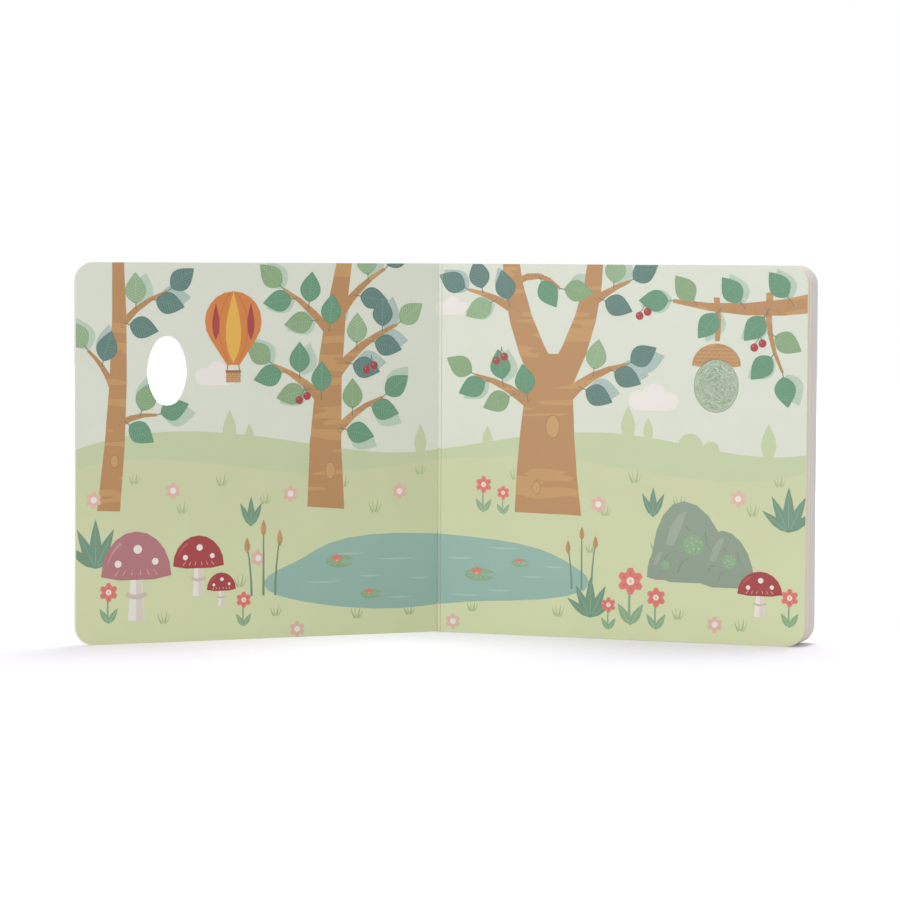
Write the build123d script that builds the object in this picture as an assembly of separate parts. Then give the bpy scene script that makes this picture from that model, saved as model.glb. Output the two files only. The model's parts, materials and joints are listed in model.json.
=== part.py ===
from build123d import *
from math import atan2, cos, degrees, hypot, pi, radians, sin
import os

os.makedirs("parts", exist_ok=True)

# A board book that stands half open on its bottom edges.
# It is drawn with the gutter crease of the first page at x = 0: +X runs to the fore-edge,
# +Y goes away from the reader, and +Z is up. The front cover is drawn flat, then turned.

# Sizes of the book
page_width = 203.4          # gutter crease to fore-edge
page_height = 200.0
corner_radius = 10.0        # outer corners of covers and leaves
standing_angle = 43.6       # degrees that the front cover stands short of lying flat
cover_board = 2.05
leaf_count = 6
leaf_thickness = 2.0
leaf_line = 0.1             # groove that parts two leaves at the open edges
leaf_line_depth = 0.5
sheet = 0.2                 # printed sheet glued on a board
spacer_board = 5.8          # board that frames the sound module
back_board = 1.6
leaf_air = 0.3              # air between what lies closed on what

# Sizes of the gutter
gutter_width = 1.8          # between the two creases
crease_width = 0.3

# Print: each film of ink lies one film further out, so that fields never share space
film = 0.025
film_levels = 7
print_margin = 0.1

# Touch patch and its button, and the hole of the cover that lands on it
patch_from_edge = 49.2      # fore-edge to the middle of the patch
patch_from_top = 63.6
patch_width = 23.0
patch_height = 26.6
patch_bevel = 0.6
fleece = 2.0
foam = 1.2
window_air = 0.8            # around the button, so that it swings out of the leaves
hole_from_edge = 50.4
hole_from_top = 56.8
hole_width = 22.6
hole_height = 36.6
key_inset = 0.4
key_top = 1.4
key_wall = 1.2
key_rib = 1.0
key_pin_radius = 3.5
key_collar_radius = 5.4
key_collar = 0.8
key_travel = 1.0
running_air = 0.3

# Sound module behind the patch
module_width = 96.0
module_height = 62.0
module_corner = 5.0
module_wall = 1.2
module_floor = 1.0
module_offset_x = 18.2      # from the module's middle to the patch
module_offset_z = 9.4
fit_air = 0.3
overrun = 1.0               # by which a cutter passes the faces it cuts

# Speaker, in the upper corner of the module away from the patch
speaker_radius = 14.5
speaker_from_side = 20.0
speaker_drop = 0.95         # below the middle of the room above the cells
speaker_rim_width = 2.5
speaker_steel = 0.6
speaker_gasket = 0.5
speaker_cone = 0.2
speaker_cap_radius = 5.4
speaker_window_angle = 50.0
magnet_radius = 6.4
magnet_height = 2.1
grille_slot = 1.4
grille_pitch = 3.3
grille_rings = 3
grille_web_angle = 22.0

# Circuit board with the contact dome, sound chip and slide switch
circuit_board_thickness = 0.8
circuit_height = 2.5        # of the posts that carry the circuit board
circuit_inset = 4.0         # from the outside of the module
circuit_gap = 5.5           # from the speaker
circuit_cell_gap = 3.9      # from the wall around the cells
circuit_leg = 24.0          # width of the leg beside the cells
circuit_post_radius = 1.6
circuit_post_inset = 2.4
dome_radius = 4.5
dome_height = 1.2
dome_wall = 0.4
chip_radius = 5.0
chip_height = 1.0
chip_from_side = 11.0
chip_from_top = 13.0
small_part_length = 2.0
small_part_width = 1.2
small_part_height = 0.6
small_part_count = 4
small_part_pitch = 3.0
switch_from_side = 16.0
switch_from_foot = 9.0
switch_length = 10.4
switch_width = 6.2
switch_height = 1.4
switch_floor = 0.2
switch_skin = 0.4
switch_travel = 2.5
knob_length = 4.2
knob_width = 2.4
knob_foot_overhang = 0.8
knob_foot = 0.3
knob_ridge = 0.4
wire_radius = 0.4
wire_pitch = 3.0
wire_rise = 1.2

# Cells and battery door
cell_radius = 5.8
cell_height = 4.2
cell_count = 3
cell_pitch = 12.4
cell_step = 0.4
cells_from_side = 28.0
cells_from_foot = 12.0
contact_plate = 0.3
contact_width = 5.0
bay_wall = 1.0
door_tab_radius = 3.4
screw_head_radius = 2.1
screw_head = 0.8
screw_shank_radius = 0.9
screw_length = 4.2
screw_air = 0.1
screw_recess = 0.5
screw_slot = 0.5
boss_radius = 2.6
boss_inset = 5.0

# Depths, counted from the face of the first page
ink_height = film * film_levels
block_front = sheet
block_thickness = leaf_count * leaf_thickness + (leaf_count - 1) * leaf_line
block_back = block_front + block_thickness
pages_back = block_back + sheet
lining_front = pages_back + leaf_air
spacer_front = lining_front + sheet
spacer_back = spacer_front + spacer_board
back_board_back = spacer_back + back_board
book_back = back_board_back + sheet

# Hinge axes of the covers, both upright, at the creases
front_hinge = (-gutter_width, -(ink_height + leaf_air / 2))
back_hinge = (-gutter_width, pages_back + leaf_air / 2)
spine_edge = -gutter_width + crease_width
cover_width = page_width - spine_edge

patch_x = page_width - patch_from_edge
patch_z = page_height - patch_from_top
hole_z = page_height - hole_from_top
module_x = patch_x - module_offset_x
module_z = patch_z - module_offset_z
module_left = module_x - module_width / 2
module_right = module_x + module_width / 2
module_foot = module_z - module_height / 2
module_top = module_z + module_height / 2
shell_floor_back = spacer_front + module_floor
circuit_front = shell_floor_back + circuit_height
circuit_back = circuit_front + circuit_board_thickness
cell_front = shell_floor_back + contact_plate
cell_back = cell_front + cell_height

# Views of the page, with X along it and Z up: depth grows away from the reader
page_plane = Plane(origin=(0, 0, 0), x_dir=(1, 0, 0), z_dir=(0, -1, 0))


def slab(shape, front, back):
    """Solid of a page-plane sketch between two depths."""
    return extrude(page_plane.offset(-back) * shape, amount=back - front, dir=page_plane.z_dir)


def board_outline(spine, fore_edge, radius=corner_radius):
    """Page shape: square at the spine and rounded at the fore-edge, which may lie left or right."""
    way = 1 if fore_edge > spine else -1
    shape = Polygon(
        (spine, 0), (fore_edge, 0), (fore_edge, page_height), (spine, page_height), align=None
    )
    outer = [v for v in shape.vertices() if way * (v.X - (spine + fore_edge) / 2) > 0]
    return fillet(outer, radius)


def oval(x, z, width, height):
    """Oval of four tangent arcs."""
    long, short = height / 2, width / 2
    chord = hypot(long, short)
    end_radius = chord * (chord - long + short) / (2 * long)
    side_radius = chord * (chord + long - short) / (2 * short)
    rise, aside = abs(long - end_radius), abs(side_radius - short)
    join_x = aside * end_radius / hypot(rise, aside)
    join_z = long - end_radius + rise * end_radius / hypot(rise, aside)
    joins = [(join_x, join_z), (-join_x, join_z), (-join_x, -join_z), (join_x, -join_z)]
    crowns = [(0, long), (-short, 0), (0, -long), (short, 0)]
    arcs = [ThreePointArc(joins[i], crowns[i], joins[(i + 1) % 4]) for i in range(4)]
    return Pos(x, z) * make_face(arcs)


def disc(x, z, radius):
    return Pos(x, z) * Circle(radius)


def spun(points, x, z):
    """Solid of revolution about an axis along Y: points are (radius, depth)."""
    profile = make_face(Polyline(*points, close=True))
    return Pos(x, 0, z) * revolve(profile, Axis.Y)


def group(parts):
    """Separate solids that share one node."""
    return Compound([solid for part in parts for solid in part.solids()])


def standing(part):
    """Turn what is drawn on the flat front cover to where the open cover stands."""
    hinge = Pos(front_hinge[0], front_hinge[1], 0)
    return hinge * Rot(0, 0, standing_angle) * hinge.inverse() * part


nodes = {}

# Leaves: one block, with grooves between the leaves at its three open edges

patch_window = oval(patch_x, patch_z, patch_width + 2 * window_air, patch_height + 2 * window_air)
block_outline = board_outline(-gutter_width / 2, page_width)
groove_core = board_outline(
    -gutter_width / 2, page_width - leaf_line_depth, corner_radius - leaf_line_depth
)
groove_core &= Pos(0, page_height / 2) * Rectangle(
    4 * page_width, page_height - 2 * leaf_line_depth
)


def page_block():
    block = slab(block_outline, block_front, block_back)
    groove = block_outline - groove_core
    for index in range(1, leaf_count):
        back = block_front + index * (leaf_thickness + leaf_line)
        block -= slab(groove, back - leaf_line, back)
    return block - slab(patch_window, block_front - overrun, block_back + overrun)


facing_outline = board_outline(0, page_width)
nodes["page_block"] = page_block()
nodes["page_facing"] = slab(facing_outline - patch_window, 0, block_front)
nodes["last_facing"] = slab(block_outline - patch_window, block_back, pages_back)
gutter_shape = Polygon(
    (spine_edge, 0), (-crease_width, 0), (-crease_width, page_height), (spine_edge, page_height),
    align=None,
)
nodes["gutter_strip"] = slab(gutter_shape, 0, block_front)
wrap_shape = Polygon(
    (spine_edge, 0), (-gutter_width / 2, 0), (-gutter_width / 2, page_height),
    (spine_edge, page_height), align=None,
)
nodes["spine_wrap"] = slab(wrap_shape, block_front, pages_back)

# Front cover, drawn flat to the left of the gutter, where its hole mirrors its place when closed

cover_spine = -gutter_width - crease_width
cover_edge = cover_spine - cover_width
cover_outline = board_outline(cover_spine, cover_edge)
hole_flat_x = -2 * gutter_width - (page_width - hole_from_edge)
cover_hole = oval(hole_flat_x, hole_z, hole_width, hole_height)
holed_cover = cover_outline - cover_hole
nodes["cover_facing"] = standing(slab(holed_cover, 0, sheet))
nodes["front_cover"] = standing(slab(holed_cover, sheet, sheet + cover_board))
nodes["cover_sheet"] = standing(slab(holed_cover, sheet + cover_board, 2 * sheet + cover_board))

# Back cover: lining, spacer board around the module, back board and outer sheet

back_outline = board_outline(spine_edge, page_width)


def module_outline(air=0.0):
    shape = RectangleRounded(
        module_width + 2 * air, module_height + 2 * air, module_corner + air
    )
    return Pos(module_x, module_z) * shape


module_window = module_outline(fit_air)
pin_hole_radius = key_pin_radius + running_air
lining_hole = disc(patch_x, patch_z, pin_hole_radius + running_air)
nodes["back_lining"] = slab(back_outline - lining_hole, lining_front, spacer_front)
nodes["module_board"] = slab(back_outline - module_window, spacer_front, spacer_back)
nodes["back_cover"] = slab(back_outline - module_window, spacer_back, back_board_back)
nodes["back_sheet"] = slab(back_outline - module_window, back_board_back, book_back)

# Touch button: fleece and foam on a moulded key, whose pin reaches the contact dome


def touch_patch():
    patch = slab(oval(patch_x, patch_z, patch_width, patch_height), 0, fleece)
    return chamfer(patch.edges().group_by(Axis.Y)[0], patch_bevel)


key_width = patch_width - 2 * key_inset
key_height = patch_height - 2 * key_inset
key_front = fleece + foam
skirt_end = lining_front - key_travel - running_air
collar_front = shell_floor_back + running_air
collar_back = collar_front + key_collar


def touch_key():
    outer = oval(patch_x, patch_z, key_width, key_height)
    inner = oval(patch_x, patch_z, key_width - 2 * key_wall, key_height - 2 * key_wall)
    pin = disc(patch_x, patch_z, key_pin_radius)
    ribs = Rectangle(key_width, key_rib) + Rectangle(key_rib, key_height)
    ribs = (Pos(patch_x, patch_z) * ribs) & (inner - pin)
    key_back = key_front + key_top
    rib_end = (key_back + skirt_end) / 2
    key = slab(outer, key_front, key_back)
    key += slab(outer - inner, key_back, skirt_end)
    key += slab(ribs, key_back, rib_end)
    key += slab(pin, key_back, collar_front)
    key += slab(disc(patch_x, patch_z, key_collar_radius), collar_front, collar_back)
    return key


nodes["fleece_patch"] = touch_patch()
nodes["foam_pad"] = slab(oval(patch_x, patch_z, key_width, key_height), fleece, key_front)
nodes["touch_key"] = touch_key()
nodes["contact_dome"] = spun(
    [
        (0, circuit_front - dome_height),
        (dome_radius / 2, circuit_front - dome_height),
        (dome_radius, circuit_front),
        (dome_radius - dome_wall, circuit_front),
        (dome_radius / 2 - dome_wall / 2, circuit_front - dome_height + dome_wall),
        (0, circuit_front - dome_height + dome_wall),
    ],
    patch_x,
    patch_z,
)

# Sound module: shell towards the pages, lid flush with the back of the book.
# The cells lie along its foot, the speaker above them and the circuit board beside both.

bay_length = cell_pitch * (cell_count - 1) + 2 * (cell_radius + fit_air)
bay_width = 2 * (cell_radius + fit_air)
cells_x = module_left + cells_from_side
cells_z = module_foot + cells_from_foot
bay_top = cells_z + bay_width / 2 + bay_wall
speaker_x = module_left + speaker_from_side
speaker_z = (bay_top + module_top - module_wall) / 2 - speaker_drop
circuit_left = speaker_x + speaker_radius + circuit_gap
circuit_right = module_right - circuit_inset
circuit_top = module_top - circuit_inset
circuit_foot = module_foot + circuit_inset
circuit_leg_left = circuit_right - circuit_leg
circuit_leg_top = bay_top + circuit_cell_gap
switch_x = module_right - switch_from_side
switch_z = circuit_foot + switch_from_foot
knob_slot_length = knob_length + switch_travel + 2 * running_air
knob_slot_width = knob_width + 2 * running_air
door_screw_x = cells_x - bay_length / 2 - bay_wall - door_tab_radius
boss_places = [
    (x, z)
    for x in (module_left + boss_inset, module_right - boss_inset)
    for z in (module_foot + boss_inset, module_top - boss_inset)
]
circuit_posts = [
    (circuit_left + circuit_post_inset, circuit_leg_top + circuit_post_inset),
    (circuit_left + circuit_post_inset, circuit_top - circuit_post_inset),
    (circuit_right - boss_inset - boss_radius, circuit_top - circuit_post_inset),
    (circuit_leg_left + circuit_post_inset, circuit_foot + circuit_post_inset),
]
cell_places = [
    (cells_x + cell_pitch * (index - (cell_count - 1) / 2), cells_z) for index in range(cell_count)
]


def module_shell():
    inner = module_outline(-module_wall)
    shell = slab(module_outline(), spacer_front, spacer_back)
    shell -= slab(inner, shell_floor_back, spacer_back + overrun)
    shell -= slab(disc(patch_x, patch_z, pin_hole_radius), spacer_front - overrun, spacer_back)
    for x, z in boss_places + [(door_screw_x, cells_z)]:
        screw_hole = disc(x, z, screw_shank_radius + screw_air)
        shell += slab(disc(x, z, boss_radius), shell_floor_back, spacer_back)
        shell -= slab(screw_hole, shell_floor_back, spacer_back + overrun)
    for x, z in circuit_posts:
        shell += slab(disc(x, z, circuit_post_radius), shell_floor_back, circuit_front)
    bay = Rectangle(bay_length + 2 * bay_wall, bay_width + 2 * bay_wall)
    bay -= Rectangle(bay_length, bay_width)
    shell += slab(Pos(cells_x, cells_z) * bay, shell_floor_back, spacer_back)
    return shell


def battery_door_shape(air=0.0):
    door = Pos(cells_x, cells_z) * Rectangle(bay_length + 2 * air, bay_width + 2 * air)
    tab = disc(door_screw_x, cells_z, door_tab_radius + air)
    neck_length = cells_x - door_screw_x
    neck = Pos((cells_x + door_screw_x) / 2, cells_z) * Rectangle(
        neck_length, 2 * (door_tab_radius + air)
    )
    return door + tab + neck


def speaker_grille():
    """Rings of curved slots around a round hole."""
    slots = [Circle(grille_slot)]
    for ring in range(1, grille_rings + 1):
        radius = ring * grille_pitch + grille_slot / 2
        band = Circle(radius + grille_slot / 2) - Circle(radius - grille_slot / 2)
        web = 2 * radius * sin(radians(grille_web_angle / 2 / ring + grille_web_angle / 4))
        turn = grille_web_angle * (ring % 2)
        webs = Rectangle(4 * radius, web) + Rectangle(web, 4 * radius)
        slots.append(band - Rot(0, 0, turn) * webs)
    return [Pos(speaker_x, speaker_z) * slot for slot in slots]


def module_lid():
    lid = slab(module_outline(), spacer_back, back_board_back)
    lid -= slab(battery_door_shape(fit_air), spacer_back - overrun, back_board_back + overrun)
    for slots in speaker_grille():
        lid -= slab(slots, spacer_back - overrun, back_board_back + overrun)
    for x, z in boss_places:
        screw_hole = disc(x, z, screw_shank_radius + screw_air)
        head_hole = disc(x, z, screw_head_radius + screw_air)
        lid -= slab(screw_hole, spacer_back - overrun, back_board_back)
        lid -= slab(head_hole, back_board_back - screw_head, back_board_back + overrun)
    knob_slot = Pos(switch_x + switch_travel / 2, switch_z) * Rectangle(
        knob_slot_length, knob_slot_width
    )
    return lid - slab(knob_slot, spacer_back - overrun, back_board_back + overrun)


def battery_door():
    door = slab(battery_door_shape(), spacer_back, back_board_back)
    screw_hole = disc(door_screw_x, cells_z, screw_shank_radius + screw_air)
    head_hole = disc(door_screw_x, cells_z, screw_head_radius + screw_air)
    door -= slab(screw_hole, spacer_back - overrun, back_board_back)
    return door - slab(head_hole, back_board_back - screw_head, back_board_back + overrun)


def screw(x, z):
    head_front = back_board_back - screw_head
    body = slab(disc(x, z, screw_head_radius), head_front, back_board_back)
    body += slab(disc(x, z, screw_shank_radius), head_front - screw_length, head_front)
    cross = Rectangle(2 * screw_head_radius - screw_slot, screw_slot)
    cross += Rot(0, 0, 90) * cross
    return body - slab(Pos(x, z) * cross, back_board_back - screw_recess, back_board_back + overrun)


nodes["module_shell"] = module_shell()
nodes["module_lid"] = module_lid()
nodes["battery_door"] = battery_door()
nodes["battery_screw"] = screw(door_screw_x, cells_z)
nodes["lid_screws"] = group(screw(x, z) for x, z in boss_places)

# Speaker, facing the lid

rim_back = spacer_back - speaker_gasket - speaker_cone
rim_front = rim_back - speaker_steel
rim_inner = speaker_radius - speaker_rim_width
basket_front = shell_floor_back + magnet_height - speaker_steel


def speaker_basket():
    """Steel cup with a rim, and windows in its floor around the magnet."""
    basket = spun(
        [
            (magnet_radius, basket_front),
            (rim_inner + speaker_steel, basket_front),
            (rim_inner + speaker_steel, rim_front),
            (speaker_radius, rim_front),
            (speaker_radius, rim_back),
            (rim_inner, rim_back),
            (rim_inner, basket_front + speaker_steel),
            (magnet_radius, basket_front + speaker_steel),
        ],
        speaker_x,
        speaker_z,
    )
    window = Circle(rim_inner - speaker_steel) - Circle(magnet_radius + speaker_rim_width)
    half_chord = rim_inner * sin(radians(speaker_window_angle / 2))
    window &= Pos(rim_inner / 2, 0) * Rectangle(rim_inner, 2 * half_chord)
    for quarter in range(4):
        opening = Pos(speaker_x, speaker_z) * Rot(0, 0, 45 + 90 * quarter) * window
        basket -= slab(opening, basket_front - overrun, rim_front)
    return basket


def speaker_membrane():
    """Film glued on the rim, with a raised cap over the voice coil."""
    rim = speaker_radius - speaker_steel
    film_back = rim_back + speaker_cone
    membrane = slab(disc(speaker_x, speaker_z, rim), rim_back, film_back)
    cap = disc(speaker_x, speaker_z, speaker_cap_radius)
    return membrane + slab(cap, film_back, film_back + speaker_cone)


nodes["speaker_basket"] = speaker_basket()
nodes["speaker_membrane"] = speaker_membrane()
nodes["speaker_magnet"] = slab(
    disc(speaker_x, speaker_z, magnet_radius - screw_air / 2), shell_floor_back,
    shell_floor_back + magnet_height,
)
nodes["speaker_gasket"] = slab(
    disc(speaker_x, speaker_z, speaker_radius) - disc(speaker_x, speaker_z, rim_inner),
    spacer_back - speaker_gasket, spacer_back,
)

# Circuit board and what it carries

chip_x = circuit_left + chip_from_side
chip_z = circuit_top - chip_from_top


def circuit_board():
    shape = Polygon(
        (circuit_left, circuit_leg_top),
        (circuit_leg_left, circuit_leg_top),
        (circuit_leg_left, circuit_foot),
        (circuit_right, circuit_foot),
        (circuit_right, circuit_top),
        (circuit_left, circuit_top),
        align=None,
    )
    for x, z in boss_places:
        shape -= disc(x, z, boss_radius + fit_air)
    return slab(shape, circuit_front, circuit_back)


def sound_chip():
    """Chip under a drop of black resin."""
    crown = circuit_back + chip_height
    foot = [(0, circuit_back), (chip_radius, circuit_back)]
    return spun([*foot, (chip_radius / 2, crown), (0, crown)], chip_x, chip_z)


def small_parts():
    x = chip_x + chip_radius + small_part_pitch
    parts = []
    for index in range(small_part_count):
        place = Pos(x, chip_z + small_part_pitch * (index - (small_part_count - 1) / 2))
        body = place * Rectangle(small_part_length, small_part_width)
        parts.append(slab(body, circuit_back, circuit_back + small_part_height))
    return group(parts)


switch_back = circuit_back + switch_height
knob_front = circuit_back + switch_floor + (running_air + screw_air) / 2


def switch_case():
    centre = Pos(switch_x + switch_travel / 2, switch_z)
    foot_room = Rectangle(
        knob_slot_length + knob_foot_overhang, knob_slot_width + 2 * knob_foot_overhang
    )
    case = slab(centre * Rectangle(switch_length, switch_width), circuit_back, switch_back)
    case -= slab(centre * foot_room, circuit_back + switch_floor, switch_back - switch_skin)
    slot = centre * Rectangle(knob_slot_length, knob_slot_width)
    return case - slab(slot, circuit_back + switch_floor, switch_back + overrun)


def switch_knob():
    centre = Pos(switch_x, switch_z)
    stem = centre * Rectangle(knob_length, knob_width)
    foot = centre * Rectangle(knob_length, knob_width + 2 * knob_foot_overhang)
    knob = slab(stem, knob_front, back_board_back)
    knob += slab(foot, knob_front, knob_front + knob_foot)
    for side in (-1, 0, 1):
        groove = Pos(switch_x + side * knob_length / 4, switch_z)
        groove *= Rectangle(knob_ridge, knob_width + overrun)
        knob -= slab(groove, back_board_back - knob_ridge, back_board_back + overrun)
    return knob


def speaker_leads():
    """Two wires from the speaker's rim to the circuit board."""
    leads = []
    for side in (-1, 1):
        start = Vector(
            speaker_x + speaker_radius + screw_air, circuit_back + wire_radius,
            speaker_z + side * wire_pitch / 2,
        )
        run = Vector(circuit_left + circuit_post_inset, start.Y, start.Z + side * wire_rise) - start
        section = Plane(origin=start, z_dir=run) * Circle(wire_radius)
        leads.append(extrude(section, amount=run.length))
    return group(leads)


nodes["circuit_board"] = circuit_board()
nodes["sound_chip"] = sound_chip()
nodes["small_parts"] = small_parts()
nodes["switch_case"] = switch_case()
nodes["switch_knob"] = switch_knob()
nodes["speaker_leads"] = speaker_leads()

# Cells, with their stepped rims, between two sets of contact plates


def button_cell(x, z):
    can = slab(disc(x, z, cell_radius), cell_front + cell_step, cell_back)
    return can + slab(disc(x, z, cell_radius - 2 * cell_step), cell_front, cell_front + cell_step)


nodes["button_cells"] = group(button_cell(x, z) for x, z in cell_places)
contact_strip = Rectangle(bay_length - 2 * fit_air, contact_width)
nodes["cell_contacts"] = group(
    slab(Pos(cells_x, cells_z) * contact_strip, front, back)
    for front, back in ((shell_floor_back, cell_front), (cell_back, spacer_back))
)

# Print on the open spread: a pond in a woodland meadow. Places are shares of the page's width,
# counted from the gutter and negative on the cover, and of its height.

leaf_length = 16.5
leaf_width = 11.6
leaf_belly = 0.78           # exponent below 1 that sets a leaf's widest part nearer to its root
leaf_tilt = 52.0            # degrees between a leaf and its bough
leaf_stalk = 1.5
blossom_radius = 4.3
petal_count = 6
berry_radius = 2.2
leaf_steps = 6              # straight runs along one side of a leaf
sprig_steps = 4             # the same on the small leaves of ground plants
limb_steps = 4
dot_sides = 12
puff_sides = 20             # of clouds, bushes and the balloon
arch_steps = 10
pond_steps = 36
edge_share = 1.05           # where what bleeds off the page is cut, in the shares below

# Films of ink, from the paper outwards
far, near, wood, stems, foliage, figures, marks = range(film_levels)

hill_shares = [
    (-edge_share, 0.500), (-0.78, 0.555), (-0.42, 0.525), (-0.10, 0.490), (0.22, 0.535),
    (0.55, 0.545), (0.84, 0.500), (edge_share, 0.515),
]
meadow_shares = [
    (-edge_share, 0.455), (-0.74, 0.480), (-0.38, 0.440), (0.0, 0.470), (0.34, 0.478),
    (0.70, 0.435), (edge_share, 0.470),
]
pond_shares = (-0.050, 0.168, 0.425, 0.105)    # middle, then half its width and height
pond_wave_shares = [(2, -0.4, 0.06), (3, 0.9, 0.07), (5, 2.2, 0.04)]    # waves, turn, height
# Boughs: foot, tip, widths there as shares of the page's width, bow, and how many leaves
cover_bough_shares = [
    ((-0.330, 0.345), (-0.275, 1.030), (0.105, 0.040), 0.030, 0),
    ((-0.322, 0.520), (-0.170, 0.640), (0.030, 0.008), 0.080, 4),
    ((-0.318, 0.600), (-0.480, 0.730), (0.034, 0.008), -0.080, 5),
    ((-0.305, 0.700), (-0.130, 0.835), (0.032, 0.008), 0.070, 5),
    ((-0.298, 0.780), (-0.450, 0.930), (0.030, 0.008), -0.060, 5),
    ((-0.287, 0.870), (-0.165, 0.985), (0.026, 0.008), 0.060, 3),
    ((-0.930, 0.350), (-0.905, 1.030), (0.062, 0.030), -0.020, 0),
    ((-0.926, 0.560), (-0.800, 0.600), (0.022, 0.007), 0.100, 3),
    ((-0.920, 0.800), (-0.770, 0.925), (0.024, 0.007), 0.090, 4),
    ((-0.922, 0.680), (-0.985, 0.770), (0.018, 0.007), -0.060, 2),
]
page_bough_shares = [
    ((0.300, 0.330), (0.310, 0.760), (0.185, 0.115), 0.020, 0),
    ((0.293, 0.690), (0.190, 1.030), (0.082, 0.044), 0.060, 0),
    ((0.330, 0.690), (0.430, 1.030), (0.078, 0.040), -0.060, 0),
    ((0.275, 0.600), (0.095, 0.700), (0.036, 0.008), -0.070, 5),
    ((0.225, 0.860), (0.075, 0.930), (0.030, 0.008), -0.060, 4),
    ((0.345, 0.640), (0.515, 0.735), (0.036, 0.008), 0.080, 4),
    ((0.400, 0.880), (0.520, 0.955), (0.028, 0.008), 0.050, 3),
    ((0.205, 0.950), (0.330, 0.935), (0.022, 0.008), 0.200, 2),
    ((1.030, 0.905), (0.640, 0.905), (0.052, 0.010), 0.050, 6),
    ((0.757, 0.915), (0.760, 0.800), (0.016, 0.013), 0.030, 0),
    ((0.900, 0.930), (0.935, 0.720), (0.020, 0.007), -0.080, 4),
]
cloud_shares = [(-0.635, 0.700, 0.075), (0.030, 0.880, 0.060), (0.590, 0.640, 0.085)]
poplar_shares = [
    (-0.600, 0.520, 0.090), (-0.545, 0.515, 0.060), (-0.060, 0.480, 0.085),
    (0.130, 0.495, 0.070), (0.520, 0.530, 0.095), (0.575, 0.530, 0.065), (0.900, 0.485, 0.100),
]
bush_shares = [(-0.690, 0.525, 0.030), (0.690, 0.520, 0.034), (0.745, 0.510, 0.024)]
fern_shares = [
    (-0.965, 0.200, 0.130, 5), (0.420, 0.055, 0.110, 5), (0.955, 0.300, 0.120, 5),
    (-0.540, 0.300, 0.080, 3), (0.590, 0.330, 0.080, 3),
]
reed_shares = [(-0.505, 0.115, 0.180), (0.395, 0.130, 0.150)]
toadstool_shares = [
    ("red", -0.685, 0.120, 0.160, 0.140), ("red", -0.622, 0.090, 0.090, 0.080),
    ("mauve", -0.855, 0.060, 0.235, 0.190), ("red", 0.880, 0.075, 0.120, 0.120),
]
toadstool_dot_shares = [(-0.26, 0.64, 0.050), (0.02, 0.80, 0.062), (0.27, 0.66, 0.048)]
daisy_shares = [
    (-0.930, 0.055, 0.105), (-0.560, 0.035, 0.090), (0.530, 0.040, 0.150),
    (0.600, 0.030, 0.110), (0.470, 0.025, 0.085), (0.960, 0.050, 0.100),
    (0.120, 0.330, 0.095), (0.175, 0.325, 0.075),
]
stone_shares = [
    (0.690, 0.175, 0.105, 0.100), (0.790, 0.160, 0.075, 0.070), (0.620, 0.170, 0.045, 0.040),
]
pad_shares = [
    (-0.290, 0.200, 0.040), (-0.200, 0.110, 0.030), (0.110, 0.160, 0.042), (0.225, 0.195, 0.026),
]
blossom_shares = [
    (-0.970, 0.380), (-0.755, 0.400), (-0.430, 0.385), (-0.120, 0.385), (-0.520, 0.215),
    (0.440, 0.360), (0.820, 0.385), (0.760, 0.050), (0.035, 0.030), (-0.410, 0.022),
]
berry_shares = [
    (-0.205, 0.720), (-0.395, 0.640), (0.165, 0.745), (0.560, 0.870), (0.870, 0.790),
]
balloon_shares = [(-0.590, 0.845, 0.078)]


def spot(across, up):
    return (across * page_width, up * page_height)


def outline(points):
    return make_face(Polyline(*points, close=True))


def limb(foot, tip, widths, bow=0, steps=limb_steps):
    """Tapered bough, bowed sideways by a share of its length."""
    run_x, run_z = tip[0] - foot[0], tip[1] - foot[1]
    length = hypot(run_x, run_z)
    sides = [], []
    for step in range(steps + 1):
        share = step / steps
        sway = bow * 4 * share * (1 - share)
        half = (widths[0] + (widths[1] - widths[0]) * share) / 2 / length
        for side, way in zip(sides, (1, -1)):
            out = sway + way * half
            side.append((foot[0] + share * run_x - out * run_z, foot[1] + share * run_z + out * run_x))
    return outline(sides[0] + sides[1][::-1])


def leaf(root, angle, length=leaf_length, width=leaf_width, steps=leaf_steps):
    """Egg shape with a pointed tip, from its root."""
    shares = [step / steps for step in range(1, steps)]
    upper = [(length * share, width / 2 * sin(pi * share**leaf_belly)) for share in shares]
    lower = [(along, -across) for along, across in reversed(upper)]
    return Pos(*root) * Rot(0, 0, angle) * outline([(0, 0), *upper, (length, 0), *lower])


def dot(x, z, radius, sides=dot_sides):
    return Pos(x, z) * RegularPolygon(radius, sides)


def arch(x, z, half, rise, lean=0):
    """Rounded hump on a sagging foot; its top may lean sideways by a share of its half width."""
    rim = []
    for step in range(arch_steps + 1):
        turn = pi * step / arch_steps
        rim.append((x + half * (cos(turn) + lean * sin(turn) ** 2), z + rise * sin(turn)))
    return outline(rim + [(x - half / 2, z - rise / 12), (x + half / 2, z - rise / 12)])


inks = {}


def lay(colour, level, *shapes):
    """Add shapes to one ink, on one of its film levels."""
    inks.setdefault(colour, {}).setdefault(level, []).extend(shapes)


def rolling_ground(top_shares, foot_share):
    """Ground under a rolling line, down to a share of the page's height."""
    line = Spline(*[spot(*share) for share in top_shares])
    right = spot(edge_share, foot_share)
    left = spot(-edge_share, foot_share)
    return make_face([line, Line(line @ 1, right), Line(right, left), Line(left, line @ 0)])


def pond():
    middle_x, middle_z = spot(*pond_shares[:2])
    half_x, half_z = spot(*pond_shares[2:])
    shore = []
    for step in range(pond_steps):
        turn = 2 * pi * step / pond_steps
        reach = 1 + sum(share * cos(waves * turn + lag) for waves, lag, share in pond_wave_shares)
        shore.append((middle_x + reach * half_x * cos(turn), middle_z + reach * half_z * sin(turn)))
    lay("water", wood, outline(shore))


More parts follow.
